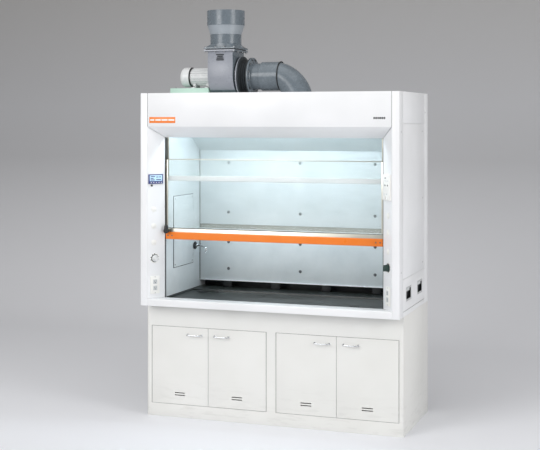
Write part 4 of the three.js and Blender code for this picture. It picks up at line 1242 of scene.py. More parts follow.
@dataclass
class Sashes(Assembly):
    """Lower sash with its orange grip and latch, and the upper sash behind it."""

    stile: float = 24 * MM
    bolt_columns: tuple[float, float] = (717 * MM, 746 * MM)
    bolt_radius: float = 5 * MM

    def build(self) -> None:
        """Builds both sashes."""
        for node, body in (("sash_glass", "sash"), ("upper_sash_glass", "upper_sash")):
            self._pane(node, body)
        self.refine("sash_bottom_rail", "sash", ALLOY, 1.2 * MM, 3)
        self.refine("upper_sash_rail", "upper_sash", BODY, 1.5 * MM, 3)
        self.refine("sash_handle", "sash", ORANGE, 1.0 * MM, 3)
        self._grip_bolts()
        self._latch()
        self._glazing()

    def _pane(self, node: str, body: str) -> None:
        """A pane with polished faces and green ground edges, in slim edge channels."""
        low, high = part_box(node)
        pane = self.place(f"{node}_pane", Shape().block(low, high, 1.2 * MM), body, GLASS, (node,))
        pane.data.materials.append(GLASS_EDGE.material())
        for face in pane.data.polygons:
            if abs(face.normal.y) < 0.9:
                face.material_index = 1
        channels = Shape()
        for x0, x1 in ((low.x, low.x + self.stile), (high.x - self.stile, high.x)):
            channels.block((x0, low.y - 1.2 * MM, low.z), (x1, low.y - 0.1 * MM, high.z), 0.3 * MM)
        channels.block(
            (low.x, low.y - 1.2 * MM, high.z - 6 * MM), (high.x, high.y + 1.0 * MM, high.z), 0.4 * MM
        )
        self.place(f"{node}_channels", channels, body, ALLOY)

    def _grip_bolts(self) -> None:
        """Two button-head bolts at each end of the grip."""
        low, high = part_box("sash_handle")
        z = (low.z + high.z) / 2
        shape = Shape()
        for side in (-1, 1):
            for x in self.bolt_columns:
                shape.dome(Axis.Y, (side * x, low.y + 0.3 * MM, z), self.bolt_radius, -0.5)
        self.place("sash_grip_bolts", shape, "sash", DARK_STEEL)

    def _latch(self) -> None:
        """Bell-shaped thumb lever with soft edges, turning on a stud."""
        shape = Shape().copy_of(self.nodes["sash_latch"], 2.2 * MM, 3, shortest=0.5 * MM)
        self.place("sash_latch_lever", shape, "latch", BLACK, ("sash_latch",), math.radians(40))

    def _glazing(self) -> None:
        """Black glazing strip between the pane and its rail."""
        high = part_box("sash_bottom_rail")[1]
        pane_low, pane_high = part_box("sash_glass")
        strip = Shape().block(
            (pane_low.x, pane_low.y - 2.5 * MM, high.z - 1.0 * MM),
            (pane_high.x, pane_low.y - 0.1 * MM, high.z + 3 * MM),
            0.8 * MM,
        )
        self.place("sash_glazing_strip", strip, "sash", SEAL_AND_SHADE)


# ---------------------------------------------------------------- sash balance


@dataclass
class Balance(Assembly):
    """Pulleys, wires and counterweights of the lower sash."""

    groove: float = 38.6 * MM
    rim: float = 43 * MM
    half_width: float = 5.5 * MM
    axle: float = 5 * MM

    def build(self) -> None:
        """Builds both sides of the balance."""
        for tail in ("left", "right"):
            self._pulley(tail)
            self.dress(f"sash_wire_{tail}", STEEL)
            self._weight(tail)

    def _pulley(self, tail: str) -> None:
        """A grooved pulley with a boss, on its axle."""
        node = f"sheave_{tail}"
        low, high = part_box(node)
        mid = Vector(((low.x + high.x) / 2, low.y + self.half_width, (low.z + high.z) / 2))
        w = self.half_width
        profile = [
            (-w, 6 * MM), (-w, 12 * MM), (-w + 2 * MM, 13 * MM), (-w + 2 * MM, 33 * MM), (-w, 34 * MM)
        ]
        profile += [(-w, self.rim - 0.6 * MM), (-w + 0.8 * MM, self.rim), (-w + 2 * MM, self.rim)]
        profile += [(-w / 3, self.groove), (w / 3, self.groove)]
        profile += [(w - 2 * MM, self.rim), (w - 0.8 * MM, self.rim), (w, self.rim - 0.6 * MM)]
        profile += [(w, 34 * MM), (w - 2 * MM, 33 * MM), (w - 2 * MM, 13 * MM), (w, 12 * MM), (w, 6 * MM)]
        shape = Shape().lathe(profile, Axis.Y, mid, 64, round_trip=True)
        shape.drum(Axis.Y, mid, self.axle, -w, high.y - mid.y, 0.6 * MM, 32)
        body = f"pulley_{tail}"
        self.place(f"pulley_{tail}_wheel", shape, body, STEEL, (node,))

    def _weight(self, tail: str) -> None:
        """Cast weight with a wire clamp screwed into its top."""
        node = f"counterweight_{tail}"
        low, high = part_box(node)
        self.refine(node, "counterweights", IRON, 3 * MM, 3)
        mid = Vector(((low.x + high.x) / 2, (low.y + high.y) / 2, high.z))
        clamp = Shape().drum(Axis.Z, mid, 6 * MM, -1 * MM, 14 * MM, 0.8 * MM, 24)
        clamp.bolt(Axis.Y, mid + Vector((0, -5.5 * MM, 8 * MM)), 2.5 * MM, -1.0)
        self.place(f"wire_clamp_{tail}", clamp, "counterweights", STEEL)


# ---------------------------------------------------------------- controls on the posts


# Height and radius in millimetres, from the seat outwards.
CAP_PROFILE = ((0, 0), (0, 19), (2, 19), (3, 18), (3.4, 13), (4.6, 11.5), (5.6, 6), (5.8, 0))
KNOB_PROFILE = (
    (0.6, 0), (0.6, 22.5), (2, 23), (10, 22.5), (13, 22),
    (14, 20), (14, 17), (29, 15.5), (30.5, 14), (30.5, 0),
)


@dataclass
class Controls(Assembly):
    """Monitor, switches, valve knobs, sockets and blank caps on the slanted posts."""

    slant_x: float = 82 * MM
    slant_y: float = 107.2 * MM
    off_middle: float = 10 * MM
    socket_rows: tuple[float, float] = (-27 * MM, 27 * MM)
    plate_half: float = 35 * MM
    plate_out: float = 6 * MM
    dial_radius: float = 34 * MM
    switch_out: float = 10 * MM
    pilot: tuple[float, float] = (-13.5 * MM, 1660.5 * MM)
    monitor: tuple[float, ...] = (-60 * MM, 50 * MM, 1597 * MM, 1662 * MM, 9 * MM)

    def build(self) -> None:
        """Builds what each post carries."""
        for side, tail in ((-1, "left"), (1, "right")):
            face = self._face(side, tail)
            self._outlet(tail, face, side * self.off_middle)
            self._valve(side, tail, face, side * self.off_middle)
            self._blank_caps(side, tail, face)
        self._monitor(self._face(-1, "left"))
        self._switches(self._face(1, "right"))

    def _face(self, side: int, tail: str) -> Matrix:
        """Place of a post's slanted face: X across it, Y up and Z out of it."""
        low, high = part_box(f"post_{tail}")
        inner = low.x if side > 0 else high.x
        across = Vector((self.slant_x, -side * self.slant_y, 0)).normalized()
        up = Vector((0, 0, 1))
        out = across.cross(up)
        origin = Vector((inner + side * self.slant_x / 2, low.y + self.slant_y / 2, 0))
        turn = Matrix((across, up, out)).transposed().to_4x4()
        return Matrix.Translation(origin) @ turn

    def _blank_caps(self, side: int, tail: str, face: Matrix) -> None:
        """Plastic caps over the unused service holes, low domes with a rim."""
        x = -17.6 if side < 0 else 8.8
        levels = (1423, 1310, 1198) if side < 0 else (1422, 1313, 1192)
        shape = Shape()
        for z in levels:
            seat = Vector((x, z, 0.2)) * MM
            shape.lathe([(a * MM, r * MM) for a, r in CAP_PROFILE], Axis.Z, seat, 40)
        self.place(f"service_caps_{tail}", shape.move(face), "root", WHITE_ABS)

    def _outlet(self, tail: str, face: Matrix, x: float) -> None:
        """Double socket: a wall plate, two dark-slotted inserts and two fixing screws."""
        local = face.inverted()
        node = self.nodes[f"outlet_{tail}"]
        heights = [(local @ v.co).y for v in node.data.vertices]
        low, high = min(heights), max(heights)
        mid = (low + high) / 2
        half, out = self.plate_half, self.plate_out
        plate = Shape().block((x - half, low, 0.3 * MM), (x + half, high, out - 1 * MM), 1.4 * MM, 3)
        plate.block(
            (x - 21 * MM, mid - 46 * MM, 0.3 * MM), (x + 21 * MM, mid + 46 * MM, out - 0.4 * MM), 0.8 * MM
        )
        self.place(f"outlet_{tail}_plate", plate.move(face), "root", WHITE_ABS, (f"outlet_{tail}",))
        inserts, slots = Shape(), Shape()
        for row in self.socket_rows:
            y = mid + row * 0.8
            inserts.block(
                (x - 15 * MM, y - 15 * MM, out - 1 * MM),
                (x + 15 * MM, y + 15 * MM, out + 0.4 * MM),
                0.5 * MM,
            )
            for dx in (-6.3, 6.3):
                slots.block(
                    (x + dx * MM - 1.2 * MM, y - 1 * MM, out - 1 * MM),
                    (x + dx * MM + 1.2 * MM, y + 8 * MM, out + 0.6 * MM),
                )
            slots.drum(Axis.Z, (x, y - 7 * MM, out), 3.2 * MM, -1 * MM, 0.6 * MM, 0.0, 20)
        screws = Shape()
        for y in (low + 6 * MM, high - 6 * MM):
            screws.dome(Axis.Z, (x, y, out - 1 * MM), 3 * MM, 0.4)
        self.place(f"outlet_{tail}_inserts", inserts.move(face), "root", GREY_ABS)
        self.place(f"outlet_{tail}_slots", slots.move(face), "root", BLACK)
        self.place(f"outlet_{tail}_screws", screws.move(face), "root", STEEL)

    def _valve(self, side: int, tail: str, face: Matrix, x: float) -> None:
        """Remote valve: a dial plate on the post, and a knob with a grip bar that turns."""
        node = f"valve_knob_{tail}"
        local = face.inverted()
        spots = [local @ v.co for v in self.nodes[node].data.vertices]
        y = (min(p.y for p in spots) + max(p.y for p in spots)) / 2
        base = min(p.z for p in spots)
        dial = Shape().drum(Axis.Z, (x, y, 0), self.dial_radius, 0.0, base - 0.05 * MM, 0.0, 56)
        ticks = Shape()
        for k in range(7):
            angle = math.radians(200 - k * 36)
            spot = Vector((x, y, base)) + Axis.Z.turned(30 * MM, angle, 0.0)
            ticks.drum(Axis.Z, spot, (3.6 if k < 4 else 2.4) * MM, -0.2 * MM, 0.4 * MM, 0.0, 12)
        ticks.drum(Axis.Z, (x, y, base), 27 * MM, -0.2 * MM, 0.35 * MM, 0.0, 48)
        self.place(f"valve_dial_{tail}", dial.move(face), "root", WHITE_ABS)
        self.place(f"valve_ticks_{tail}", ticks.move(face), "root", BLACK)
        seat = (x, y, base)
        knob = Shape().lathe([(a * MM, r * MM) for a, r in KNOB_PROFILE], Axis.Z, seat, 48)
        knob.block(
            (x - 5 * MM, y - 20 * MM, base + 12 * MM),
            (x + 5 * MM, y + 20 * MM, base + 33.5 * MM),
            2 * MM,
            3,
        )
        finish = ENAMEL if side < 0 else GREEN
        self.place(f"valve_knob_{tail}_grip", knob.move(face), f"knob_{tail}", finish, (node,))
        pointer = Shape().block(
            (x - 1 * MM, y + 8 * MM, base + 33 * MM), (x + 1 * MM, y + 18 * MM, base + 33.9 * MM), 0.2 * MM
        )
        self.place(
            f"valve_pointer_{tail}", pointer.move(face), f"knob_{tail}", BLACK if side < 0 else WHITE_ABS
        )

    def _monitor(self, face: Matrix) -> None:
        """Airflow monitor: a navy case with a lit display, plain bars, keys and a sensor knob."""
        left, right, low, high, out = self.monitor
        case = Shape().block((left, low, 0.3 * MM), (right, high, out - 0.8 * MM), 2.2 * MM, 3)
        self.place("airflow_monitor_case", case.move(face), "root", NAVY, ("airflow_monitor",))
        display = Shape().block(
            (left + 8 * MM, low + 19 * MM, out - 2 * MM),
            (right - 8 * MM, high - 7 * MM, out - 0.4 * MM),
            0.6 * MM,
        )
        self.place("airflow_monitor_display", display.move(face), "root", SCREEN)
        bars = Shape()
        for x, width, y in (
            (-46, 34, 1644),
            (-46, 22, 1632),
            (-46, 30, 1621),
            (-4, 18, 1640),
            (18, 16, 1640),
            (-4, 38, 1622),
        ):
            bars.block(
                (x * MM, y * MM, out - 1 * MM), ((x + width) * MM, (y + 6) * MM, out - 0.2 * MM), 0.15 * MM
            )
        self.place("airflow_monitor_bars", bars.move(face), "root", NAVY)
        keys = Shape()
        for x in (-42, -22, -2, 18, 36):
            keys.dome(Axis.Z, (x * MM, 1606 * MM, out - 1 * MM), 3.6 * MM, 0.35)
        self.place("airflow_monitor_keys", keys.move(face), "root", WHITE_ABS)
        knob = Shape().drum(Axis.Z, (-35 * MM, 1586 * MM, 0), 7 * MM, 0.0, 8 * MM, 1 * MM, 32)
        self.place("airflow_sensor_knob", knob.move(face), "root", BLACK)

    def _switches(self, face: Matrix) -> None:
        """Switch plate with two push keys, a pilot lens and printed bars."""
        self.refine("switch_panel", "root", WHITE_ABS, 1.0 * MM, shortest=12 * MM)
        out = self.switch_out
        pilot = Shape().drum(Axis.Z, (*self.pilot, out), 5 * MM, -1 * MM, 1 * MM, 0.0, 28)
        pilot.dome(Axis.Z, (*self.pilot, out + 1 * MM), 4.4 * MM, 0.5)
        for x in (-16.8, 21.5):
            pilot.drum(Axis.Z, (x * MM, 1614.5 * MM, out), 5.5 * MM, -1 * MM, 1.5 * MM, 0.6 * MM, 28)
        self.place("pilot_lenses", pilot.move(face), "root", LENS)
        bars = Shape()
        for x, z, width, height in (
            (-28, 1641, 24, 4), (8, 1641, 26, 4), (-4, 1556, 20, 6), (-36, 1556, 16, 4)
        ):
            bars.block(
                (x * MM, z * MM, out - 1 * MM),
                ((x + width) * MM, (z + height) * MM, out + 0.3 * MM),
                0.1 * MM,
            )
        self.place("switch_marks", bars.move(face), "root", GREY_ABS)
        for node, body in (("fan_button", "fan_key"), ("light_button", "light_key")):
            self.refine(node, body, WHITE_ABS, 1.5 * MM, 3)


# ---------------------------------------------------------------- fan and ducts on the roof


@dataclass
class RoofFan(Assembly):
    """Exhaust fan with its motor, outlet duct and inlet duct."""

    sides: int = 72
    wall: float = 4 * MM
    pipe_radius: float = 92 * MM
    sleeve_radius: float = 101 * MM
    elbow_radius: float = 98 * MM
    bead_radius: float = 104 * MM
    throat: float = 80 * MM
    casing_flange: float = 141 * MM
    pipe_flange: float = 132 * MM
    flange: float = 9 * MM
    cowl_length: float = 73 * MM
    bend_centre: Point = (-154 * MM, 2119 * MM)
    bend_radius: float = 235 * MM
    bolt: float = 6 * MM
    bolt_inset: float = 14 * MM
    square_flange: Point = (115 * MM, 133 * MM)
    channel_half: float = 110 * MM
    seat_drop: float = 47 * MM
    collar_width: float = 22 * MM
    neck_radius: float = 108.5 * MM
    socket_radius: float = 132.7 * MM
    neck_low: float = 2566 * MM
    neck_high: float = 2632 * MM
    reducer_high: float = 2698 * MM
    sleeve_start: float = -195 * MM
    rib_count: int = 20

    def build(self) -> None:
        """Builds base, casing, wheel, motor, outlet and inlet."""
        low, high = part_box("impeller")
        self.axis = Vector((0, (low.y + high.y) / 2, (low.z + high.z) / 2))
        self.refine("fan_base", "root", MINT, 1.5 * MM)
        self._base_bolts()
        self._casing()
        self.dress("impeller", ENAMEL)
        self._motor()
        self._outlet()
        self._inlet_joint()
        self._inlet_pipe()
        self._elbow()

    def _at(self, x: float) -> Vector:
        """The point of the fan's axis at that X."""
        return Vector((x, self.axis.y, self.axis.z))

    def _ring_of_bolts(self, shape: Shape, x: float, radius: float, count: int, out: float) -> None:
        """Adds bolts round the axis on a flange face."""
        for k in range(count):
            seat = self._at(x) + Axis.X.turned(radius, 2 * math.pi * (k + 0.5) / count, 0.0)
            shape.bolt(Axis.X, seat, self.bolt, out)

    def _base_bolts(self) -> None:
        """Anchor bolts through the lips of the fan base."""
        low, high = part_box("fan_base")
        shape = Shape()
        for y in (low.y + 14 * MM, high.y - 14 * MM):
            for x in (low.x + 40 * MM, low.x + 250 * MM):
                shape.bolt(Axis.Z, (x, y, high.z), 5 * MM, 1.0)
            for x in (high.x - 40 * MM, high.x - 170 * MM):
                shape.bolt(Axis.Z, (x, y, high.z - self.seat_drop), 5 * MM, 1.0)
        self.place("fan_base_bolts", shape, "root", STEEL)

    def _casing(self) -> None:
        """Scroll: pale wrap, the pipes' darker grey on its side plates and underside as painted shade, flange
        bolts and a plain patch of marks.
        """
        node = "scroll_casing"
        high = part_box(node)[1]
        piece = self.refine(node, "root", PVC_CASE, 1.2 * MM, 2, shortest=12 * MM)
        # The side plates and the underside take the darker pipe grey by the way they face: painted shade.
        piece.data.materials.append(PVC.material())
        for face in piece.data.polygons:
            if abs(face.normal.x) > 0.5 or face.normal.z < -0.8:
                face.material_index = 1
        bolts = Shape()
        self._ring_of_bolts(bolts, high.x - self.flange, self.casing_flange - self.bolt_inset, 12, -1.0)
        self.place("casing_neck_bolts", bolts, "root", DARK_STEEL)
        top_low, top_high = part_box("outlet_duct")
        mid_x = (top_low.x + top_high.x) / 2
        front = (top_low.y + top_high.y) / 2 - (self.channel_half + self.wall)
        marks = Shape()
        for z, width in ((2487, 56), (2475, 40), (2463, 50), (2451, 56)):
            half = width / 2 * MM
            marks.block(
                (mid_x - half, front - 0.6 * MM, z * MM - 4 * MM),
                (mid_x + half, front + 1 * MM, z * MM + 4 * MM),
                0.2 * MM,
            )
        self.place("casing_marks", marks, "root", FLEX)

    def _motor(self) -> None:
        """Motor: ribbed body, end shield, domed cowl with a dark band, foot and terminal box."""
        node = "fan_motor"
        low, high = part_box(node)
        face = high.x
        band = low.x + self.cowl_length
        body_radius = 59 * MM
        shape = Shape()
        shape.lathe(
            [(band, 0), (band, body_radius), (face - 14 * MM, body_radius), (face - 14 * MM, 0)],
            Axis.X, self._at(0), self.sides,
        )
        shield = [(face - 18 * MM, 0), (face - 18 * MM, 64 * MM), (face - 16 * MM, 66 * MM)]
        shield += [(face - 2 * MM, 66 * MM), (face, 64 * MM), (face, 0)]
        shape.lathe(shield, Axis.X, self._at(0), self.sides)
        for k in range(self.rib_count):
            turn = Matrix.Rotation(2 * math.pi * (k + 0.5) / self.rib_count, 4, "X")
            rib = Shape().block(
                (band + 8 * MM, -1.6 * MM, body_radius - 2 * MM),
                (face - 17 * MM, 1.6 * MM, 64 * MM),
                1 * MM,
            )
            rib.move(Matrix.Translation(self._at(0)) @ turn)
            made = bpy.data.meshes.new("rib")
            rib.mesh.to_mesh(made)
            rib.mesh.free()
            shape.mesh.from_mesh(made)
            bpy.data.meshes.remove(made)
        self.place("motor_body", shape, "root", ENAMEL, (node,))
        cowl = [(low.x, 0), (low.x, 40 * MM)]
        cowl += [(low.x + (30 - 30 * math.cos(t)) * MM, (40 + 30 * math.sin(t)) * MM) for t in arc_steps(8)]
        cowl += [(band, 70 * MM), (band, 0)]
        self.place("motor_cowl", Shape().lathe(cowl, Axis.X, self._at(0), self.sides), "root", ENAMEL)
        ring = Shape().pipe(
            Axis.X, self._at(0), 70.5 * MM, 58 * MM, band - 2 * MM, band + 5 * MM, self.sides
        )
        for radius in (12, 20, 28):
            ring.pipe(
                Axis.X, self._at(0), (radius + 2) * MM, radius * MM, low.x - 0.5 * MM, low.x + 2 * MM, 40
            )
        self.place("motor_band", ring, "root", BLACK)
        self._motor_mounts(face)

    def _motor_mounts(self, face: float) -> None:
        """Motor foot with bolts, and the terminal box with its gland."""
        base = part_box("fan_base")[1].z
        y, z = self.axis.y, self.axis.z
        foot = Shape()
        for x in (face - 160 * MM, face - 60 * MM):
            foot.block((x, y - 60 * MM, base), (x + 30 * MM, y + 60 * MM, base + 8 * MM), 1.5 * MM)
            foot.block(
                (x + 4 * MM, y - 40 * MM, base + 6 * MM),
                (x + 26 * MM, y + 40 * MM, base + 42 * MM),
                1.5 * MM,
            )
        self.place("motor_foot", foot, "root", ENAMEL)
        bolts = Shape()
        for x in (face - 145 * MM, face - 45 * MM):
            for side in (-1, 1):
                bolts.bolt(Axis.Z, (x, y + side * 50 * MM, base + 8 * MM), 4.5 * MM, 1.0)
        self.place("motor_foot_bolts", bolts, "root", STEEL)
        box = Shape().block(
            (face - 147 * MM, y + 50 * MM, z - 30 * MM), (face - 67 * MM, y + 88 * MM, z + 30 * MM), 3 * MM
        )
        self.place("terminal_box", box, "root", ENAMEL)
        gland = Shape().drum(
            Axis.Z, (face - 107 * MM, y + 70 * MM, z - 30 * MM), 9 * MM, -14 * MM, 0.0, 1.5 * MM
        )
        self.place("terminal_gland", gland, "root", BLACK)

    def _outlet(self) -> None:
        """Square flange, transition, sleeve, reducer and socket, each a shell of its own."""
        node = "outlet_duct"
        low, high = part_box(node)
        x, y = (low.x + high.x) / 2, (low.y + high.y) / 2
        case_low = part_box("scroll_casing")[0]
        half_x = x - case_low.x
        half_y = self.channel_half
        flange_x, flange_y = self.square_flange
        wall = self.wall
        neck = self.neck_radius

        def oval(z: float, radius: float) -> list[Vector]:
            """A level circle round the duct's own axis."""
            return level_ring((x, y, z), radius, radius, 64)

        def square(z: float, a: float, b: float) -> list[Vector]:
            """A level rectangle round the duct's own axis."""
            return level_rectangle((x, y, z), a, b, 64)

        seat, top = low.z + 6 * MM, low.z + 16 * MM
        outer = [
            square(seat, flange_x - 1 * MM, flange_y - 1 * MM), square(seat + 1 * MM, flange_x, flange_y)
        ]
        outer += [
            square(top - 1 * MM, flange_x, flange_y), square(top, flange_x - 1 * MM, flange_y - 1 * MM)
        ]
        outer += [
            square(top, half_x, half_y), oval(self.neck_low, neck), oval(self.neck_low + 4 * MM, neck)
        ]
        inner = [oval(self.neck_low + 4 * MM, neck - wall), oval(self.neck_low, neck - wall)]
        inner += [square(top, half_x - wall, half_y - wall), square(seat, half_x - wall, half_y - wall)]
        self.place(
            "outlet_transition",
            Shape().loft(outer + inner, round_trip=True),
            "root",
            PVC,
            (node,),
            math.radians(28),
        )
        centre = (x, y, 0)
        neck_pipe = Shape().pipe(
            Axis.Z, centre, neck + 1 * MM, neck - wall, self.neck_low + 2 * MM, self.neck_high, self.sides
        )
        self.place("outlet_neck", neck_pipe, "root", PVC)
        wide = self.socket_radius
        profile = [
            (self.neck_high, neck - wall),
            (self.neck_high, neck + 2.5 * MM),
            (self.neck_high + 3 * MM, neck + 2.5 * MM),
        ]
        profile += [(self.reducer_high - 3 * MM, wide - 3 * MM), (self.reducer_high, wide - 3 * MM)]
        profile += [(self.reducer_high, wide - wall - 3 * MM), (self.neck_high + 3 * MM, neck - wall)]
        reducer = Shape().lathe(profile, Axis.Z, centre, self.sides, round_trip=True)
        self.place("outlet_reducer", reducer, "root", PVC_PALE)
        socket = Shape().pipe(
            Axis.Z, centre, wide, wide - wall, self.reducer_high - 2 * MM, high.z, self.sides
        )
        self.place("outlet_socket", socket, "root", PVC)
        bolts, nuts = Shape(), Shape()
        spots = [
            (sx * (flange_x - 10 * MM), sy * (flange_y - 10 * MM) * t)
            for sx in (-1, 1)
            for sy in (-1, 1)
            for t in (1, 0.36)
        ]
        spots += [(sx * 34 * MM, sy * (flange_y - 10 * MM)) for sx in (-1, 1) for sy in (-1, 1)]
        for dx, dy in spots:
            bolts.bolt(Axis.Z, (x + dx, y + dy, top), self.bolt, 1.0)
            nuts.bolt(Axis.Z, (x + dx, y + dy, low.z - 10.3 * MM), self.bolt, -1.0)
        self.place("outlet_flange_bolts", bolts, "root", STEEL)
        self.place("outlet_flange_nuts", nuts, "root", STEEL)
        gasket_x, gasket_y = flange_x - 14 * MM, flange_y - 14 * MM
        gasket = Shape().loft(
            [
                square(low.z, gasket_x, gasket_y),
                square(seat, gasket_x, gasket_y),
                square(seat, half_x - wall, half_y - wall),
                square(low.z, half_x - wall, half_y - wall),
            ],
            round_trip=True,
        )
        self.place("outlet_gasket", gasket, "root", SEAL_AND_SHADE)

    def _inlet_joint(self) -> None:
        """Flexible bellows between two clamped flanges."""
        node = "inlet_joint"
        low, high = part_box(node)
        plate, edge = 8 * MM, 0.8 * MM
        first, last = low.x + plate, high.x - plate
        big, small = self.casing_flange, self.pipe_flange
        profile = [
            (low.x, self.throat),
            (low.x, big - edge),
            (low.x + edge, big),
            (first - edge, big),
            (first, big - edge),
        ]
        waves = 30
        for k in range(waves + 1):
            share = k / waves
            radius = (105 + 5 * math.cos(share * 6 * math.pi)) * MM
            profile.append((first + share * (last - first), radius))
        profile += [
            (last, small - edge), (last + edge, small), (high.x - edge, small), (high.x, small - edge)
        ]
        profile += [(high.x, self.throat)]
        shape = Shape().lathe(profile, Axis.X, self._at(0), self.sides, round_trip=True)
        self.place("inlet_bellows", shape, "root", FLEX, (node,), math.radians(50))

    def _inlet_pipe(self) -> None:
        """Flanged pipe with its sleeve and bolts."""
        node = "inlet_pipe"
        low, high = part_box(node)
        r, f, sleeve = self.pipe_radius, self.pipe_flange, self.sleeve_radius
        inside = r - self.wall
        face, step = low.x + self.flange, self.sleeve_start
        profile = [(low.x, inside), (low.x, f - 1 * MM), (low.x + 1 * MM, f), (face - 1 * MM, f)]
        profile += [
            (face, f - 1 * MM), (face, r + 5 * MM), (face + 5 * MM, r), (step, r), (step, sleeve - 1 * MM)
        ]
        profile += [
            (step + 1 * MM, sleeve), (high.x - 1 * MM, sleeve), (high.x, sleeve - 1 * MM), (high.x, inside)
        ]
        pipe = Shape().lathe(profile, Axis.X, self._at(0), self.sides, round_trip=True)
        self.place("inlet_pipe_tube", pipe, "root", PVC, (node,))
        bolts = Shape()
        self._ring_of_bolts(bolts, face, f - self.bolt_inset, 12, 1.0)
        self.place("inlet_flange_bolts", bolts, "root", DARK_STEEL)

    def _elbow(self) -> None:
        """Smooth bend down through the roof deck, with a bead at its socket and a collar on the deck."""
        node = "inlet_elbow"
        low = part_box(node)[0]
        r, y = self.elbow_radius, self.axis.y
        bend_x, bend_z = self.bend_centre
        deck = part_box("roof_panel")[1].z
        top = deck + 8.3 * MM
        reach = self.bend_radius
        start = math.asin((low.x + 6 * MM - bend_x) / reach)
        end = math.acos((top - bend_z) / reach)
        steps = 28

        def bend(radius: float) -> list[list[Vector]]:
            """Rings of the bend, upright at the socket and level at the deck."""
            rings = []
            for k in range(steps + 1):
                share = k / steps
                place = start + (end - start) * share
                middle = Vector((bend_x + reach * math.sin(place), y, bend_z + reach * math.cos(place)))
                turn = Matrix.Rotation(math.pi / 2 * share, 4, "Y")
                rings.append([middle + turn @ p for p in circle_yz(radius, self.sides)])
            return rings

        def straight(x: float, radius: float) -> list[Vector]:
            """A ring round the fan's axis."""
            return [self._at(x) + p for p in circle_yz(radius, self.sides)]

        outer = [straight(low.x + 1 * MM, r + 1 * MM)] + bend(r)
        inner = list(reversed(bend(r - self.wall))) + [straight(low.x + 1 * MM, r - self.wall)]
        self.place(
            "inlet_elbow_bend",
            Shape().loft(outer + inner, round_trip=True),
            "root",
            PVC,
            (node,),
            math.radians(40),
        )
        collar = Shape().pipe(
            Axis.X, self._at(0), self.bead_radius, r - 1 * MM, low.x, low.x + 6 * MM, self.sides
        )
        self.place("elbow_collar", collar, "root", SEAL_AND_SHADE)
        foot_x = bend_x + math.sqrt(reach**2 - (deck - bend_z) ** 2)
        roof = Shape().pipe(
            Axis.Z, (foot_x, y, 0), r + self.collar_width, r - self.wall, deck + 0.3 * MM, top, self.sides
        )
        self.place("roof_collar", roof, "root", PVC)


def arc_steps(count: int) -> list[float]:
    """Angles of a quarter turn in equal steps."""
    return [math.pi / 2 * k / count for k in range(count + 1)]


def circle_yz(radius: float, count: int) -> list[Vector]:
    """Points of a circle that faces along X."""
    return [Axis.X.turned(radius, 2 * math.pi * (k + 0.5) / count, 0.0) for k in range(count)]


# ---------------------------------------------------------------- studio


@dataclass(frozen=True)
class Softbox:
    """A rectangular studio light."""

    name: str
    place: tuple[float, float, float]
    target: tuple[float, float, float]
    size: tuple[float, float]
    power: float
    colour: str = "#ffffff"

    def build(self) -> None:
        """Hangs the light and points it at its target."""
        data = bpy.data.lights.new(self.name, "AREA")
        data.shape = "RECTANGLE"
        data.size, data.size_y = self.size
        data.energy = self.power
        data.color = linear(self.colour)[:3]
        lamp = bpy.data.objects.new(self.name, data)
        lamp.location = self.place
        aim = Vector(self.target) - Vector(self.place)
        lamp.rotation_euler = aim.to_track_quat("-Z", "Y").to_euler()
        bpy.context.scene.collection.objects.link(lamp)


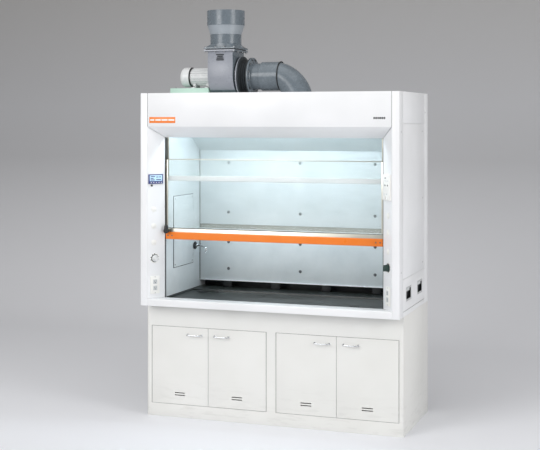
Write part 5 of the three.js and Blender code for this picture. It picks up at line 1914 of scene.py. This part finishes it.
@dataclass
class Studio:
    """Plain pale sweep, soft lights and the camera."""

    half_width: float = 14.0
    front: float = -9.0
    bend_start: float = 2.6
    bend_radius: float = 2.6
    height: float = 9.0

    def build(self) -> None:
        """Sets up floor, lights, world and camera."""
        self._sweep()
        self._lights()
        self._world()
        self._camera()

    def _sweep(self) -> None:
        """Paper floor that curves up into a plain backdrop."""
        steps = 24
        section = [(self.front, 0.0)]
        for k in range(steps + 1):
            angle = math.pi / 2 * k / steps
            y = self.bend_start + self.bend_radius * math.sin(angle)
            section.append((y, self.bend_radius * (1 - math.cos(angle))))
        section.append((self.bend_start + self.bend_radius, self.height))
        mesh = bmesh.new()
        rows = [
            [mesh.verts.new((x, y, z)) for y, z in section] for x in (-self.half_width, self.half_width)
        ]
        for (a, b), (c, d) in zip(zip(rows[0], rows[0][1:]), zip(rows[1], rows[1][1:])):
            mesh.faces.new((a, c, d, b))
        data = bpy.data.meshes.new("studio_sweep")
        mesh.to_mesh(data)
        mesh.free()
        data.polygons.foreach_set("use_smooth", [True] * len(data.polygons))
        sweep = bpy.data.objects.new("studio_sweep", data)
        sweep.data.materials.append(STUDIO_PAPER.material())
        bpy.context.scene.collection.objects.link(sweep)

    def _lights(self) -> None:
        """A broad key from the front left, a fill from the right and one from above."""
        middle = (0.0, 0.0, 1.3)
        lights = (
            Softbox("key_light", (-3.5, -7.5, 4.2), middle, (4.5, 4.0), 305.0),
            Softbox("fill_light", (6.5, -3.0, 3.0), middle, (3.0, 4.0), 190.0),
            Softbox("top_light", (0.0, -1.5, 6.5), (0.0, 0.0, 0.0), (6.0, 5.0), 110.0),
        )
        for light in lights:
            light.build()
        low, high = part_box("lamp_unit")
        data = bpy.data.lights.new("chamber_light", "AREA")
        data.shape = "RECTANGLE"
        data.size = high.x - low.x - 40 * MM
        data.size_y = high.y - low.y - 20 * MM
        data.energy = 8.0
        data.color = linear("#e8f6ff")[:3]
        lamp = bpy.data.objects.new("chamber_light", data)
        lamp.location = ((low.x + high.x) / 2, (low.y + high.y) / 2, low.z - 4 * MM)
        bpy.context.scene.collection.objects.link(lamp)

    def _world(self) -> None:
        """An even pale sky for the fill light."""
        world = bpy.data.worlds.new("studio_air")
        world.use_nodes = True
        world.node_tree.nodes.clear()
        sky = add_node(
            world.node_tree, "ShaderNodeBackground", {"Color": linear("#e9e6e3"), "Strength": 0.44}
        )
        add_node(world.node_tree, "ShaderNodeOutputWorld", links={"Surface": sky.outputs[0]})
        scene = bpy.context.scene
        scene.world = world
        scene.view_settings.view_transform = "Standard"

    def _camera(self) -> None:
        """Camera at standing height, a little to the right of the hood."""
        data = bpy.data.cameras.new("studio_camera")
        data.lens = 79.31
        data.sensor_width = 36.0
        data.shift_x = 0.00185
        data.shift_y = -0.1922
        camera = bpy.data.objects.new("studio_camera", data)
        camera.location = (2.6266, -7.7658, 2.0234)
        camera.rotation_euler = Euler((math.radians(90), 0.0, math.radians(19.5)))
        bpy.context.scene.collection.objects.link(camera)
        bpy.context.scene.camera = camera


# ---------------------------------------------------------------- the whole hood


def corners(box: tuple[Vector, Vector]) -> list[list[float]]:
    """A box as plain lists of numbers."""
    return [list(box[0]), list(box[1])]


def main() -> None:
    """Builds every sub-assembly in order."""
    logging.basicConfig(level=logging.INFO, format="%(name)s: %(message)s")
    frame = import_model()
    nodes = frame["nodes"]
    sub_assemblies = (
        CupboardBase, CupboardDoors, Worktop, Cabinet, WorkChamber, Sashes, Balance, Controls, RoofFan,
    )
    for kind in sub_assemblies:
        LOG.info("building %s", kind.__name__)
        kind(nodes).build()
    Studio().build()
    bpy.context.view_layer.update()


if __name__ == "__main__":
    main()
